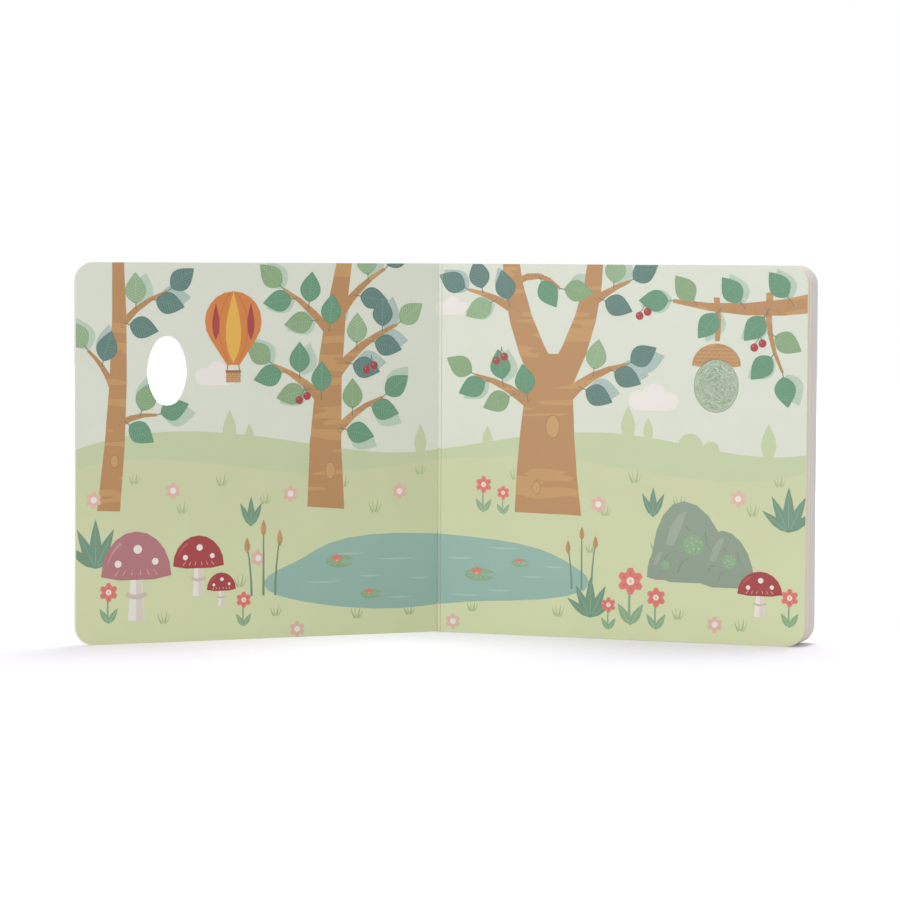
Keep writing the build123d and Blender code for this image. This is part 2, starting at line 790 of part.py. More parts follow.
def bough(foot_share, tip_share, width_shares, bow, count):
    foot, tip = spot(*foot_share), spot(*tip_share)
    start_width, end_width = [share * page_width for share in width_shares]
    run_x, run_z = tip[0] - foot[0], tip[1] - foot[1]
    lay("bark", wood, limb(foot, tip, (start_width, end_width), bow))
    heading = degrees(atan2(run_z, run_x))
    for index in range(count):
        share = (index + 1) / count
        side = 1 if index % 2 else -1
        sway = 4 * share * (1 - share) * bow
        angle = heading + (0 if index == count - 1 else side * leaf_tilt)
        reach = leaf_stalk + (start_width + (end_width - start_width) * share) / 2
        root = (
            foot[0] + share * run_x - sway * run_z + reach * cos(radians(angle)),
            foot[1] + share * run_z + sway * run_x + reach * sin(radians(angle)),
        )
        colour, level = ("leaf_light", stems) if index % 3 == 1 else ("leaf_dark", foliage)
        lay(colour, level, leaf(root, angle))


def cloud(across, up, size):
    x, z = spot(across, up)
    puff = size * page_width / 2
    tuft = 0.62 * puff
    shape = dot(x, z + tuft / 2, 0.75 * puff, puff_sides) + dot(x - puff, z, tuft, puff_sides)
    shape += dot(x + puff, z, 0.9 * tuft, puff_sides)
    shape += Pos(x, z - tuft / 2) * Rectangle(2 * puff, tuft)
    lay("cream", far, shape)


def poplar(across, up, size):
    height = size * page_height
    lay("hill", far, leaf(spot(across, up), 90, height, 0.42 * height))


def bush(across, up, size):
    lay("hill", far, dot(*spot(across, up), size * page_width, puff_sides))


def fern(across, up, size, count):
    root = spot(across, up)
    for index in range(count):
        place = index - (count - 1) / 2
        length = size * page_height * (1 - 0.12 * abs(place))
        lay("leaf_dark", foliage, leaf(root, 90 + 26 * place, length, length / 4, sprig_steps))


def reeds(across, up, size):
    x, z = spot(across, up)
    height = size * page_height
    width = height / 14
    for place, share in ((-1, 0.75), (0, 1.0), (1, 0.85)):
        foot = (x + 2.6 * width * place, z)
        tip = (foot[0] + width * place, z + share * height)
        lay("leaf_dark", foliage, limb(foot, tip, (width / 2, width / 4), 0.02 * place))
        head = (tip[0], tip[1] - height / 8)
        lay("bark", marks, leaf(head, 90, height / 4, 1.2 * width, sprig_steps))


def toadstool(colour, across, up, size, spread):
    x, z = spot(across, up)
    height, cap = size * page_height, spread * page_width
    stem = 0.16 * cap
    cap_foot = z + height / 2
    lay("cream", stems, limb((x, z), (x, cap_foot), (1.5 * stem, stem), steps=1))
    lay(colour, figures, arch(x, cap_foot, cap / 2, height / 2))
    for dot_across, dot_up, dot_size in toadstool_dot_shares:
        lay("cream", marks, dot(x + dot_across * cap, z + dot_up * height, dot_size * cap))


def petals(x, z, radius):
    """Rounded petals round a middle, three points to a petal."""
    rim = []
    for point in range(3 * petal_count):
        reach = radius * (1 if point % 3 else 0.7)
        turn = 2 * pi * point / (3 * petal_count)
        rim.append((x + reach * cos(turn), z + reach * sin(turn)))
    return outline(rim)


def daisy(across, up, size):
    x, z = spot(across, up)
    height = size * page_height
    head, head_radius = z + 0.78 * height, 0.24 * height
    stalk = limb((x, z), (x, head), (0.05 * height, 0.04 * height), 0.03)
    lay("leaf_light", stems, stalk)
    for angle in (58, 122):
        lay("leaf_light", stems, leaf((x, z), angle, 0.45 * height, 0.16 * height, sprig_steps))
    lay("coral", figures, petals(x, head, head_radius))
    lay("cream", marks, dot(x, head, 0.3 * head_radius))


def stone(across, up, width, height):
    x, z = spot(across, up)
    half, top = width * page_width, 2 * height * page_height
    lay("stone", stems, arch(x, z, half, top, -0.15))
    lay("leaf_light", foliage, dot(x + 0.1 * half, z + 0.42 * top, 0.26 * half))


def lily_pad(across, up, size):
    x, z = spot(across, up)
    half = size * page_width
    rim = [(x, z)]
    for step in range(1, puff_sides):
        turn = 2 * pi * step / puff_sides
        rim.append((x + half * cos(turn), z + 0.42 * half * sin(turn)))
    lay("leaf_light", stems, outline(rim))
    for tilt in (50, 90, 130):
        petal = leaf((x - 0.2 * half, z), tilt, 0.55 * half, 0.26 * half, sprig_steps)
        lay("coral", figures, petal)


def blossom(across, up):
    x, z = spot(across, up)
    lay("coral_pale", stems, petals(x, z, blossom_radius))
    lay("cream", marks, dot(x, z, 0.4 * blossom_radius))


def berries(across, up):
    x, z = spot(across, up)
    for side in (-1, 1):
        lay("red", figures, dot(x + side * berry_radius, z + side * berry_radius / 2, berry_radius))


def acorn_cap():
    """Printed cup above the fleece oval, which is the nut."""
    foot = patch_z + 0.40 * patch_height
    lay("bark", marks, arch(patch_x, foot, 0.58 * patch_width, 0.44 * patch_height))


def balloon(across, up, size):
    x, z = spot(across, up)
    radius = size * page_width
    mouth, waist = (x, z - 1.45 * radius), (x, z - 0.6 * radius)
    skirt = limb(waist, mouth, (1.6 * radius, 0.44 * radius), steps=1)
    lay("orange", figures, dot(x, z, radius, puff_sides) + skirt)
    lay("yellow", marks, leaf((x, z - 1.4 * radius), 90, 2.4 * radius, 0.55 * radius))
    for side in (-1, 1):
        foot = (x + side * 0.62 * radius, z - 0.62 * radius)
        lay("red", marks, leaf(foot, 90, 1.24 * radius, 0.26 * radius))
    basket = Pos(x, z - 1.85 * radius) * Rectangle(0.5 * radius, 0.36 * radius)
    lay("bark", figures, basket)


lay("hill", far, rolling_ground(hill_shares, 0.3))
lay("meadow", near, rolling_ground(meadow_shares, 0))
pond()
for motif, rows in (
    (bough, cover_bough_shares + page_bough_shares), (cloud, cloud_shares), (poplar, poplar_shares),
    (bush, bush_shares), (fern, fern_shares), (reeds, reed_shares),
    (toadstool, toadstool_shares), (daisy, daisy_shares), (stone, stone_shares),
    (lily_pad, pad_shares), (blossom, blossom_shares), (berries, berry_shares),
    (balloon, balloon_shares),
):
    for row in rows:
        motif(*row)
acorn_cap()


def printed(area, levels):
    """Films of one ink inside an area, one for each of its levels that has any there."""
    box = area.bounding_box()
    films = []
    for level, shapes in levels.items():
        near_shapes = [
            shape for shape in shapes
            if shape.bounding_box().min.X < box.max.X and shape.bounding_box().max.X > box.min.X
        ]
        if near_shapes:
            shape = (Sketch() + near_shapes) & area
            if shape and shape.faces():
                films += slab(shape, -film * (level + 1), -film * level).solids()
    return films


page_area = board_outline(0, page_width - print_margin, corner_radius - print_margin)
page_area += gutter_shape
page_area &= Pos(0, page_height / 2) * Rectangle(4 * page_width, page_height - 2 * print_margin)
page_area -= patch_window
cover_area = board_outline(cover_spine, cover_edge + print_margin, corner_radius - print_margin)
cover_area &= Pos(0, page_height / 2) * Rectangle(4 * page_width, page_height - 2 * print_margin)
cover_area -= cover_hole

for colour, levels in inks.items():
    page_films = printed(page_area, levels)
    if page_films:
        nodes[f"page_print_{colour}"] = group(page_films)
    cover_films = printed(cover_area, levels)
    if cover_films:
        nodes[f"cover_print_{colour}"] = standing(group(cover_films))

# The origin is at the middle of the standing book's footprint

outer_boxes = [
    nodes[name].bounding_box() for name in ("cover_sheet", "cover_print_meadow", "back_sheet")
]
shift_x = -(min(box.min.X for box in outer_boxes) + max(box.max.X for box in outer_boxes)) / 2
shift_y = -(min(box.min.Y for box in outer_boxes) + max(box.max.Y for box in outer_boxes)) / 2
to_origin = Pos(shift_x, shift_y, 0)

for name, part in nodes.items():
    placed = [to_origin * solid for solid in part.solids()]
    export_step(placed[0] if len(placed) == 1 else Compound(placed), f"parts/{name}.step")
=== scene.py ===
import json
from math import atan2, cos, degrees, pi, radians, sin, sqrt

import bmesh
import bpy
from mathutils import Matrix, Vector


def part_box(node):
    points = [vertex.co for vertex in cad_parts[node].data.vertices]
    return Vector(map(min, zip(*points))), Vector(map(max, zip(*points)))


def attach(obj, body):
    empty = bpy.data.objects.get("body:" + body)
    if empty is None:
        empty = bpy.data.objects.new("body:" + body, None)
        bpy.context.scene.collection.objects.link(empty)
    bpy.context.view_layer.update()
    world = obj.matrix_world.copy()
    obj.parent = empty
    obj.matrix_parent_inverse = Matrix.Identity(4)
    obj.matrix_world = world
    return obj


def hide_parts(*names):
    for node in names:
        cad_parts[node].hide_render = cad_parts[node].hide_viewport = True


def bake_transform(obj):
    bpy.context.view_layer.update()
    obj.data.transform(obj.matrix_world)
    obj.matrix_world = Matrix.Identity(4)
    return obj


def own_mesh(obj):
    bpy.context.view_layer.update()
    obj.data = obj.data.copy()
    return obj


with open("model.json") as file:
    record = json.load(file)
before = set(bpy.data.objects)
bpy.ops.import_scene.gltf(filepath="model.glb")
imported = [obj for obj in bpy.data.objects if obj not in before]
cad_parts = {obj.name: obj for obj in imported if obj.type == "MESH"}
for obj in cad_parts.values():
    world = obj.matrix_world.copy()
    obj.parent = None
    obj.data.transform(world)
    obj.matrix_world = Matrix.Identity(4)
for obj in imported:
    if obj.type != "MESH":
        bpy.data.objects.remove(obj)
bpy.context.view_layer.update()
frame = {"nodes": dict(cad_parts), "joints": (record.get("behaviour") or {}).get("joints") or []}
nodes = frame["nodes"]
joints = {joint["name"]: joint for joint in frame["joints"]}
mm = 0.001

# The two leaves that lie open, each as a flat frame: x across from the gutter, y away from the
# reader with the paper at 0, z up. The cover is drawn flat and then turned to where it stands.
facingLow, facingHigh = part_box("page_facing")
pageWidth = facingHigh.x - facingLow.x
pageHeight = facingHigh.z
coverHinge = Vector(joints["front_cover_hinge"]["pos_m"])
standing = -radians(joints["front_cover_hinge"]["range_deg"][0])
pageFrame = Matrix.Translation((facingLow.x, facingLow.y, 0))
coverTurn = Matrix.Translation(coverHinge) @ Matrix.Rotation(standing, 4, "Z")
coverFrame = coverTurn @ Matrix.Translation(-coverHinge) @ pageFrame
sides = {"pages": pageFrame, "front_cover": coverFrame}

printing = {"film": 0.025 * mm, "decal": 0.012 * mm, "margin": 0.3 * mm, "corner": 10 * mm}


def at(across, up):  # a place or a step in a flat frame, in metres
    return Vector((across, up))


def flatSpan(name, place, inset=0.0):  # reach of a sheet in its flat frame, or of what is cut inside it
    flat = place.inverted()
    spots = [flat @ vertex.co for vertex in nodes[name].data.vertices]
    lowX, highX = min(p.x for p in spots) + inset, max(p.x for p in spots) - inset
    spots = [p for p in spots if lowX <= p.x <= highX and inset <= p.z <= pageHeight - inset]
    return [at(reach(p.x for p in spots), reach(p.z for p in spots)) for reach in (min, max)]


spans, openings = {}, {}  # low and high corner of each sheet; middle and half size of its opening
for sheetBody, sheetName in (("pages", "page_facing"), ("front_cover", "cover_facing")):
    spans[sheetBody] = flatSpan(sheetName, sides[sheetBody])
    openLow, openHigh = flatSpan(sheetName, sides[sheetBody], 2 * printing["corner"])
    openings[sheetBody] = ((openLow + openHigh) / 2, (openHigh - openLow) / 2)


def tint(red, green, blue):  # a screen colour, 0 to 255, as linear light
    channels = [value / 255 for value in (red, green, blue)]
    return [c / 12.92 if c < 0.04045 else ((c + 0.055) / 1.055) ** 2.4 for c in channels] + [1]


inkColours = {
    "sky": tint(221, 225, 211), "hill": tint(197, 208, 167), "meadow": tint(205, 211, 169),
    "water": tint(149, 183, 172), "bark": tint(184, 137, 88), "leaf_dark": tint(112, 148, 124),
    "leaf_light": tint(139, 172, 135), "cream": tint(237, 231, 225), "red": tint(164, 56, 58),
    "mauve": tint(178, 116, 122), "coral": tint(224, 122, 113), "coral_pale": tint(226, 184, 170),
    "stone": tint(141, 157, 139), "orange": tint(210, 127, 60), "yellow": tint(228, 176, 74),
}


def addNode(tree, kind, inputs, **settings):  # gives the outputs of the new node
    node = tree.nodes.new(kind)
    for setting, value in settings.items():
        setattr(node, setting, value)
    for socket, value in dict(inputs).items():  # sockets are linked, plain values are set
        if isinstance(value, bpy.types.NodeSocket):
            tree.links.new(value, node.inputs[socket])
        else:
            node.inputs[socket].default_value = value
    return node.outputs


def shading(tree, kind, inputs=(), **settings):
    return addNode(tree, "ShaderNode" + kind, inputs, **settings)


def calc(tree, operation, first, second=0.0):
    return shading(tree, "Math", {0: first, 1: second}, operation=operation)[0]


def plus(tree, first, second):
    return calc(tree, "ADD", first, second)


def times(tree, first, second):
    return calc(tree, "MULTIPLY", first, second)


def axes(tree, place):
    return shading(tree, "SeparateXYZ", {0: place})


def newMaterial(name, colour, roughness, **extra):
    made = bpy.data.materials.new(name)
    made.use_nodes = True
    shader = made.node_tree.nodes["Principled BSDF"]
    for socket, value in {"Base Color": colour, "Roughness": roughness, **extra}.items():
        shader.inputs[socket.replace("_", " ")].default_value = value
    return made, made.node_tree


def objectPlace(tree, stretch=(1, 1, 1), turn=0.0, shift=(0, 0, 0)):
    place = shading(tree, "TexCoord")["Object"]
    mapping = {"Vector": place, "Location": shift, "Rotation": (0, 0, turn), "Scale": stretch}
    return shading(tree, "Mapping", mapping)["Vector"]


def grain(tree, place, scale, detail=2.0):
    return shading(tree, "TexNoise", {"Vector": place, "Scale": scale, "Detail": detail})["Fac"]


def between(tree, factor, low, high, fromLow=0.3, fromHigh=0.7):
    spread = {"Value": factor, "From Min": fromLow, "From Max": fromHigh, "To Min": low, "To Max": high}
    return shading(tree, "MapRange", spread)["Result"]


def mixed(tree, factor, first, second):
    return shading(tree, "Mix", {0: factor, 6: first, 7: second}, data_type="RGBA")[2]


def toShader(tree, socket, value):
    tree.links.new(value, tree.nodes["Principled BSDF"].inputs[socket])


def shaded(tree, colour, shade):  # colour may be a socket or a value; shade is a socket near 1
    return shading(tree, "HueSaturation", {"Color": colour, "Value": shade})["Color"]


def paint(tree, colour, shade):
    toShader(tree, "Base Color", shaded(tree, colour, shade))


def bumped(tree, height, depth):
    bump = {"Height": height, "Distance": depth, "Strength": 1.0}
    toShader(tree, "Normal", shading(tree, "Bump", bump)["Normal"])


# Printed sheets: satin laminate over paper, so a faint cloudiness and a fine felt of paper fibre
laminate = {
    "roughness": 0.42, "feltRoughness": (0.36, 0.48), "coat": 0.12, "coatRoughness": 0.3,
    "cloud": 0.012, "cloudScale": 45, "felt": 0.004 * mm, "feltScale": 2600,
    # Painted light: the meadow ink grows paler towards the foot of the page, standing in for the light that
    # the page lacks low down
    "meadowFootPaintedLight": 1.13, "paintedLightRise": 80 * mm,
}


def printedCoat(name, colour, pattern=None, foot=1.0):  # pattern draws on it; foot is painted light, a paler tone at the foot of the page
    made, tree = newMaterial(
        name, colour, laminate["roughness"],
        Coat_Weight=laminate["coat"], Coat_Roughness=laminate["coatRoughness"],
    )
    place = objectPlace(tree)
    clouds = grain(tree, place, laminate["cloudScale"], 3)
    shade = between(tree, clouds, 1 - laminate["cloud"], 1 + laminate["cloud"])
    # Painted light: paler towards the foot of the page, from the foot tone at the bottom to 1 at the height
    # of the rise
    if foot != 1.0:
        rise = between(tree, axes(tree, place)[2], foot, 1, 0, laminate["paintedLightRise"])
        shade = times(tree, shade, rise)
    paint(tree, pattern(tree) if pattern else colour, shade)
    felt = grain(tree, place, laminate["feltScale"], 3)
    toShader(tree, "Roughness", between(tree, felt, *laminate["feltRoughness"]))
    bumped(tree, felt, laminate["felt"])
    return made


bark = {"band": tint(196, 150, 97), "stretch": (1, 1, 7), "scale": 26, "edge": (0.585, 0.592)}


def barkBands(tree):  # short pale bands across the wood, crisp as cut paper
    patches = grain(tree, objectPlace(tree, bark["stretch"]), bark["scale"], 1)
    return mixed(tree, between(tree, patches, 0, 1, *bark["edge"]), inkColours["bark"], bark["band"])


# Board seen at the cut edges: pressed fibre in layers that follow the leaf
board = {
    "layer": 26, "grain": 110, "rough": 0.02 * mm, "contrast": 0.05, "roughness": 0.82,
    # lineShare and lineShade: how wide and how dark the painted shade in each groove between the leaves is
    "leafPitch": 2.1 * mm, "lineShare": 0.35, "lineShade": 0.82, "leafTones": (0.93, 1.05),
}


def leafToneAndGrooveShade(tree):  # each leaf has its own tone, and painted shade darkens it towards the grooves beside it
    half = board["leafPitch"] / 2
    inward = plus(tree, axes(tree, objectPlace(tree))[1], -facingHigh.y)
    order = calc(tree, "FLOOR", calc(tree, "DIVIDE", inward, board["leafPitch"]))
    chance = shading(tree, "TexWhiteNoise", {"W": order}, noise_dimensions="1D")["Value"]
    tone = between(tree, chance, *board["leafTones"], 0, 1)
    # Painted shade: darker near each groove between the leaves
    away = calc(tree, "PINGPONG", plus(tree, inward, half), half)
    paintedGrooveShade = between(tree, away, 1, board["lineShade"], half * (1 - board["lineShare"]), half)
    return times(tree, tone, paintedGrooveShade)


def boardCore(name, colour, turn=0.0, contrast=board["contrast"], stacked=False):
    made, tree = newMaterial(name, colour, board["roughness"])
    layers = grain(tree, objectPlace(tree, (1, board["layer"], 1), turn), board["grain"], 4)
    shade = between(tree, layers, 1 - contrast, 1 + contrast)
    paint(tree, colour, times(tree, shade, leafToneAndGrooveShade(tree)) if stacked else shade)
    bumped(tree, layers, board["rough"])
    return made


# The module's materials: scale and detail of their grain, its tones, depth and change of roughness
grains = {
    "moulded": {
        "scale": 3200, "detail": 2, "depth": 0.01 * mm, "roughness": (-0.06, 0.08),
        "cloudScale": 60, "tones": (0.985, 1.015),
    },
    "metal": {
        "scale": 900, "detail": 3, "depth": 0.004 * mm, "roughness": (-0.08, 0.12),
        "stretch": (1, 8, 1), "tones": (0.93, 1.04), "metallic": 1.0,
    },
    "paper": {"scale": 1500, "detail": 4, "depth": 0.03 * mm, "tones": (0.85, 1.15)},
}


def grained(kind, name, colour, roughness=0.85):
    facts = grains[kind]
    made, tree = newMaterial(name, colour, roughness, Metallic=facts.get("metallic", 0.0))
    place = objectPlace(tree, facts.get("stretch", (1, 1, 1)))
    fine = grain(tree, place, facts["scale"], facts["detail"])
    cloud = grain(tree, place, facts["cloudScale"]) if "cloudScale" in facts else fine
    paint(tree, colour, between(tree, cloud, *facts["tones"]))
    if "roughness" in facts:
        toShader(tree, "Roughness", between(tree, fine, *[roughness + more for more in facts["roughness"]]))
    bumped(tree, fine, facts["depth"])
    return made


finishes = {
    "sky": printedCoat("skySheet", inkColours["sky"]),
    "meadow": printedCoat("ink_meadow", inkColours["meadow"], foot=laminate["meadowFootPaintedLight"]),
    "bark": printedCoat("ink_bark", inkColours["bark"], barkBands),
    "leafCore": boardCore("leafBoardCore", tint(231, 220, 208), stacked=True),
    "coverCore": boardCore("coverBoardCore", tint(228, 221, 211), -standing),
    "spacerCore": boardCore("spacerBoardCore", tint(217, 214, 211), contrast=0.02),
    "backCore": boardCore("backBoardCore", tint(227, 225, 230), contrast=0.02),
    "outer": printedCoat("outerSheet", tint(206, 216, 190)),
    "moulding": grained("moulded", "whiteMoulding", tint(229, 228, 222), 0.46),
    "knob": grained("moulded", "knobMoulding", tint(196, 92, 84), 0.4),
    "screw": grained("metal", "zincScrew", tint(160, 162, 165), 0.32),
    "steel": grained("metal", "pressedSteel", tint(176, 178, 180), 0.38),
    "contact": grained("metal", "nickelContact", tint(204, 200, 188), 0.28),
    "membrane": grained("paper", "coneOfPaper", tint(58, 56, 55)),
    "circuit": grained("moulded", "circuitLacquer", tint(44, 92, 60), 0.38),
    "potting": grained("moulded", "chipPotting", tint(28, 27, 28), 0.3),
    "dome": grained("moulded", "domeRubber", tint(120, 122, 124), 0.6),
    "lead": grained("moulded", "wireSleeve", tint(170, 44, 40), 0.5),
    "foam": grained("paper", "paleFoam", tint(226, 224, 216)),
    "gasket": grained("paper", "darkGasket", tint(70, 68, 66)),
}
nodeFinishes = {  # the nodes of each finish; a field of print takes the ink that its name ends in
    "sky": "page_facing cover_facing gutter_strip last_facing back_lining",
    "leafCore": "page_block", "coverCore": "front_cover", "spacerCore": "module_board",
    "backCore": "back_cover", "outer": "cover_sheet back_sheet spine_wrap",
    "moulding": "module_shell module_lid battery_door touch_key", "knob": "switch_knob",
    "screw": "battery_screw lid_screws", "steel": "speaker_basket speaker_magnet switch_case",
    "contact": "button_cells cell_contacts", "membrane": "speaker_membrane",
    "gasket": "speaker_gasket", "circuit": "circuit_board", "potting": "small_parts sound_chip",
    "dome": "contact_dome", "lead": "speaker_leads", "foam": "foam_pad fleece_patch",
}


def dressFrame():
    finishOf = {name: finish for finish, names in nodeFinishes.items() for name in names.split()}
    for name, node in nodes.items():
        inkName = name.split("print_")[-1]
        if inkName != name and inkName not in finishes:
            finishes[inkName] = printedCoat("ink_" + inkName, inkColours[inkName])
        for materialSlot in node.material_slots:
            materialSlot.material = finishes[finishOf.get(name, inkName)]
    print("frame dressed:", len(finishes), "finishes")


dressFrame()


def meshPiece(name, mesh, material=None):
    if material:
        mesh.materials.append(material)
    piece = bpy.data.objects.new(name, mesh)
    bpy.context.scene.collection.objects.link(piece)
    return piece


def meshOf(build, name, closed=False):  # a closed shell gets its faces turned outwards first
    if closed:
        bmesh.ops.recalc_face_normals(build, faces=build.faces)
    mesh = bpy.data.meshes.new(name)
    build.to_mesh(mesh)
    build.free()
    return mesh


# Geometry Nodes trees are built socket by socket, and end in Realize Instances and Set Material
def newTree(name, **inputs):  # the names of its inputs, by kind; grow sets them all
    tree = bpy.data.node_groups.new(name, "GeometryNodeTree")
    for kind, labels in {"Geometry": ["Geometry"], **inputs}.items():
        for label in labels:
            tree.interface.new_socket(label, in_out="INPUT", socket_type="NodeSocket" + kind)
    tree.interface.new_socket("Geometry", in_out="OUTPUT", socket_type="NodeSocketGeometry")
    return tree, tree.nodes.new("NodeGroupInput").outputs


def geo(tree, kind, inputs=(), **settings):
    return addNode(tree, "GeometryNode" + kind, inputs, **settings)[0]


def vector(tree, x, y, z):
    return shading(tree, "CombineXYZ", {0: x, 1: y, 2: z})[0]


def joined(tree, *geometries):
    node = tree.nodes.new("GeometryNodeJoinGeometry")
    for geometry in geometries:
        tree.links.new(geometry, node.inputs[0])
    return node.outputs[0]


def endTree(tree, geometry, material):
    real = geo(tree, "RealizeInstances", {"Geometry": geometry})
    finished = geo(tree, "SetMaterial", {"Geometry": real, "Material": material})
    tree.links.new(finished, tree.nodes.new("NodeGroupOutput").inputs[0])


def grow(name, seedMesh, tree, settings):  # runs the tree once and keeps its result as a plain mesh
    piece = meshPiece(name, seedMesh)
    modifier = piece.modifiers.new("growth", "NODES")
    modifier.node_group = tree
    keys = {item.name: item.identifier for item in tree.interface.items_tree if item.in_out == "INPUT"}
    for label, value in settings.items():
        modifier[keys[label]] = value
    bpy.context.view_layer.update()
    depsgraph = bpy.context.evaluated_depsgraph_get()
    grown = bpy.data.meshes.new_from_object(piece.evaluated_get(depsgraph))
    piece.modifiers.remove(modifier)
    piece.data = grown
    return piece


# Flat print: shapes are rims in a leaf's flat frame, (x, z) in metres, anticlockwise to the reader
levelNames = ["far", "near", "wood", "stems", "foliage", "figures", "marks"]
lifts = {name: (index + 1) * printing["film"] for index, name in enumerate(levelNames)}


def spot(acrossShare, upShare):
    return at(acrossShare * pageWidth, upShare * pageHeight)


def girdle(build, first, second):  # faces between two rings of as many points
    for index in range(len(first)):
        after = (index + 1) % len(first)
        build.faces.new((first[index], first[after], second[after], second[index]))


def flatPrint(name, rims, body, lift, material):
    build = bmesh.new()
    for order, rim in enumerate(rims):  # each has its own height, so that no two tops lie in one plane
        top = -lift - printing["decal"] * (1 - order / (2 * len(rims)))
        back, front = [[build.verts.new((x, depth, z)) for x, z in rim] for depth in (-lift, top)]
        build.faces.new(front)
        build.faces.new(back[::-1])
        girdle(build, back, front)
    mesh = meshOf(build, name)
    mesh.transform(sides[body])
    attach(meshPiece(name, mesh, material), body)


def strip(path, width, tipWidth):  # a band along a path, which tapers if it has a tipWidth
    path = [Vector(p) for p in path]
    last = len(path) - 1
    tipWidth = width if tipWidth is None else tipWidth
    left, right = [], []
    for index, here in enumerate(path):
        run = path[min(index + 1, last)] - path[max(index - 1, 0)]
        half = (width + (tipWidth - width) * (index / last)) / 2
        out = at(-run.y, run.x).normalized() * half
        left.append(here + out)
        right.append(here - out)
    return right + left[::-1]


def bowed(foot, tip, bow, steps=8):  # points of a line that is bowed sideways by a share of its length
    run = tip - foot
    out = at(-run.y, run.x) * bow
    return [foot + run * s + out * 4 * s * (1 - s) for s in (i / steps for i in range(steps + 1))]


def ovalRim(centre, halfWide, halfHigh, steps):
    turns = [2 * pi * i / steps for i in range(steps)]
    return [centre + at(halfWide * cos(a), halfHigh * sin(a)) for a in turns]


def ring(build, centre, halfWide, halfHigh, depth, steps):
    return [build.verts.new((p.x, depth, p.y)) for p in ovalRim(centre, halfWide, halfHigh, steps)]


def ink(name, colour):
    key = "ink_" + name
    if key not in finishes:
        finishes[key] = printedCoat(key, colour)
    return finishes[key]


# The printed boughs: foot, tip, widths there, bow, and how many leaves, in shares of the page
boughRows = {
    "front_cover": [
        ((-0.33, 0.345), (-0.275, 1.03), (0.105, 0.04), 0.03, 0),
        ((-0.322, 0.52), (-0.17, 0.64), (0.03, 0.008), 0.08, 4),
        ((-0.318, 0.6), (-0.48, 0.73), (0.034, 0.008), -0.08, 5),
        ((-0.305, 0.7), (-0.13, 0.835), (0.032, 0.008), 0.07, 5),
        ((-0.298, 0.78), (-0.45, 0.93), (0.03, 0.008), -0.06, 5),
        ((-0.287, 0.87), (-0.165, 0.985), (0.026, 0.008), 0.06, 3),
        ((-0.93, 0.35), (-0.905, 1.03), (0.062, 0.03), -0.02, 0),
        ((-0.926, 0.56), (-0.8, 0.6), (0.022, 0.007), 0.1, 3),
        ((-0.92, 0.8), (-0.77, 0.925), (0.024, 0.007), 0.09, 4),
        ((-0.922, 0.68), (-0.985, 0.77), (0.018, 0.007), -0.06, 2),
    ],
    "pages": [
        ((0.3, 0.33), (0.31, 0.76), (0.185, 0.115), 0.02, 0),
        ((0.293, 0.69), (0.19, 1.03), (0.082, 0.044), 0.06, 0),
        ((0.33, 0.69), (0.43, 1.03), (0.078, 0.04), -0.06, 0),
        ((0.275, 0.6), (0.095, 0.7), (0.036, 0.008), -0.07, 5),
        ((0.225, 0.86), (0.075, 0.93), (0.03, 0.008), -0.06, 4),
        ((0.345, 0.64), (0.515, 0.735), (0.036, 0.008), 0.08, 4),
        ((0.4, 0.88), (0.52, 0.955), (0.028, 0.008), 0.05, 3),
        ((0.205, 0.95), (0.33, 0.935), (0.022, 0.008), 0.2, 2),
        ((1.03, 0.905), (0.64, 0.905), (0.052, 0.01), 0.05, 6),
        ((0.757, 0.915), (0.76, 0.8), (0.016, 0.013), 0.03, 0),
        ((0.9, 0.93), (0.935, 0.72), (0.02, 0.007), -0.08, 4),
    ],
}
leafPrint = {
    "length": 16.5 * mm, "width": 11.6 * mm, "belly": 0.78, "tilt": 52.0, "stalk": 1.5 * mm,
    "stalkWidth": 0.5 * mm, "stalkTip": 0.3 * mm, "veins": 9, "veinWidth": 0.27 * mm,
    "shift": 1.9 * mm, "sideShift": 1.3 * mm, "lean": 13.0, "growth": 1.08, "steps": 12,
}
leafTones = {  # colour of the leaf, and of its veins
    "green": (tint(95, 147, 114), tint(135, 177, 148)), "sea": (tint(88, 124, 116), tint(127, 158, 149)),
    "moss": (tint(134, 166, 122), tint(168, 194, 154)), "sage": (tint(146, 176, 136), tint(183, 205, 170)),
    "pale": (tint(186, 206, 187), tint(207, 221, 206)), "misty": (tint(174, 194, 188), tint(198, 212, 206)),
}


def boughWidth(widths, share):
    return (widths[0] + (widths[1] - widths[0]) * share) * pageWidth


def leafPlaces(body):
    places = []
    for footShare, tipShare, widthShares, bow, count in boughRows[body]:
        foot, tip = spot(*footShare), spot(*tipShare)
        run = tip - foot
        course = degrees(atan2(run.y, run.x))
        for index in range(count):
            share = (index + 1) / count
            side = 1 if index % 2 else -1
            angle = radians(course + (0 if index == count - 1 else side * leafPrint["tilt"]))
            beyond = leafPrint["stalk"] + boughWidth(widthShares, share) / 2
            sway = 4 * share * (1 - share) * bow
            joint = foot + run * share + at(-run.y, run.x) * sway
            root = joint + at(cos(angle), sin(angle)) * beyond
            even = (index + len(places)) % 2
            tone = ("moss", "sage")[even] if index % 3 == 1 else ("green", "sea")[even]
            places.append((joint, root, angle, tone))
    return places


def leafRim(root, angle, length, width):
    turn = Matrix.Rotation(angle, 2)
    shares = [i / leafPrint["steps"] for i in range(1, leafPrint["steps"])]
    halves = [width / 2 * sin(pi * s ** leafPrint["belly"]) for s in shares]
    lower = [at(length * s, -half) for s, half in zip(shares, halves)]
    upper = [at(p.x, -p.y) for p in reversed(lower)]
    rim = [at(0, 0), *lower, at(length, 0), *upper]
    return [root + turn @ p for p in rim]


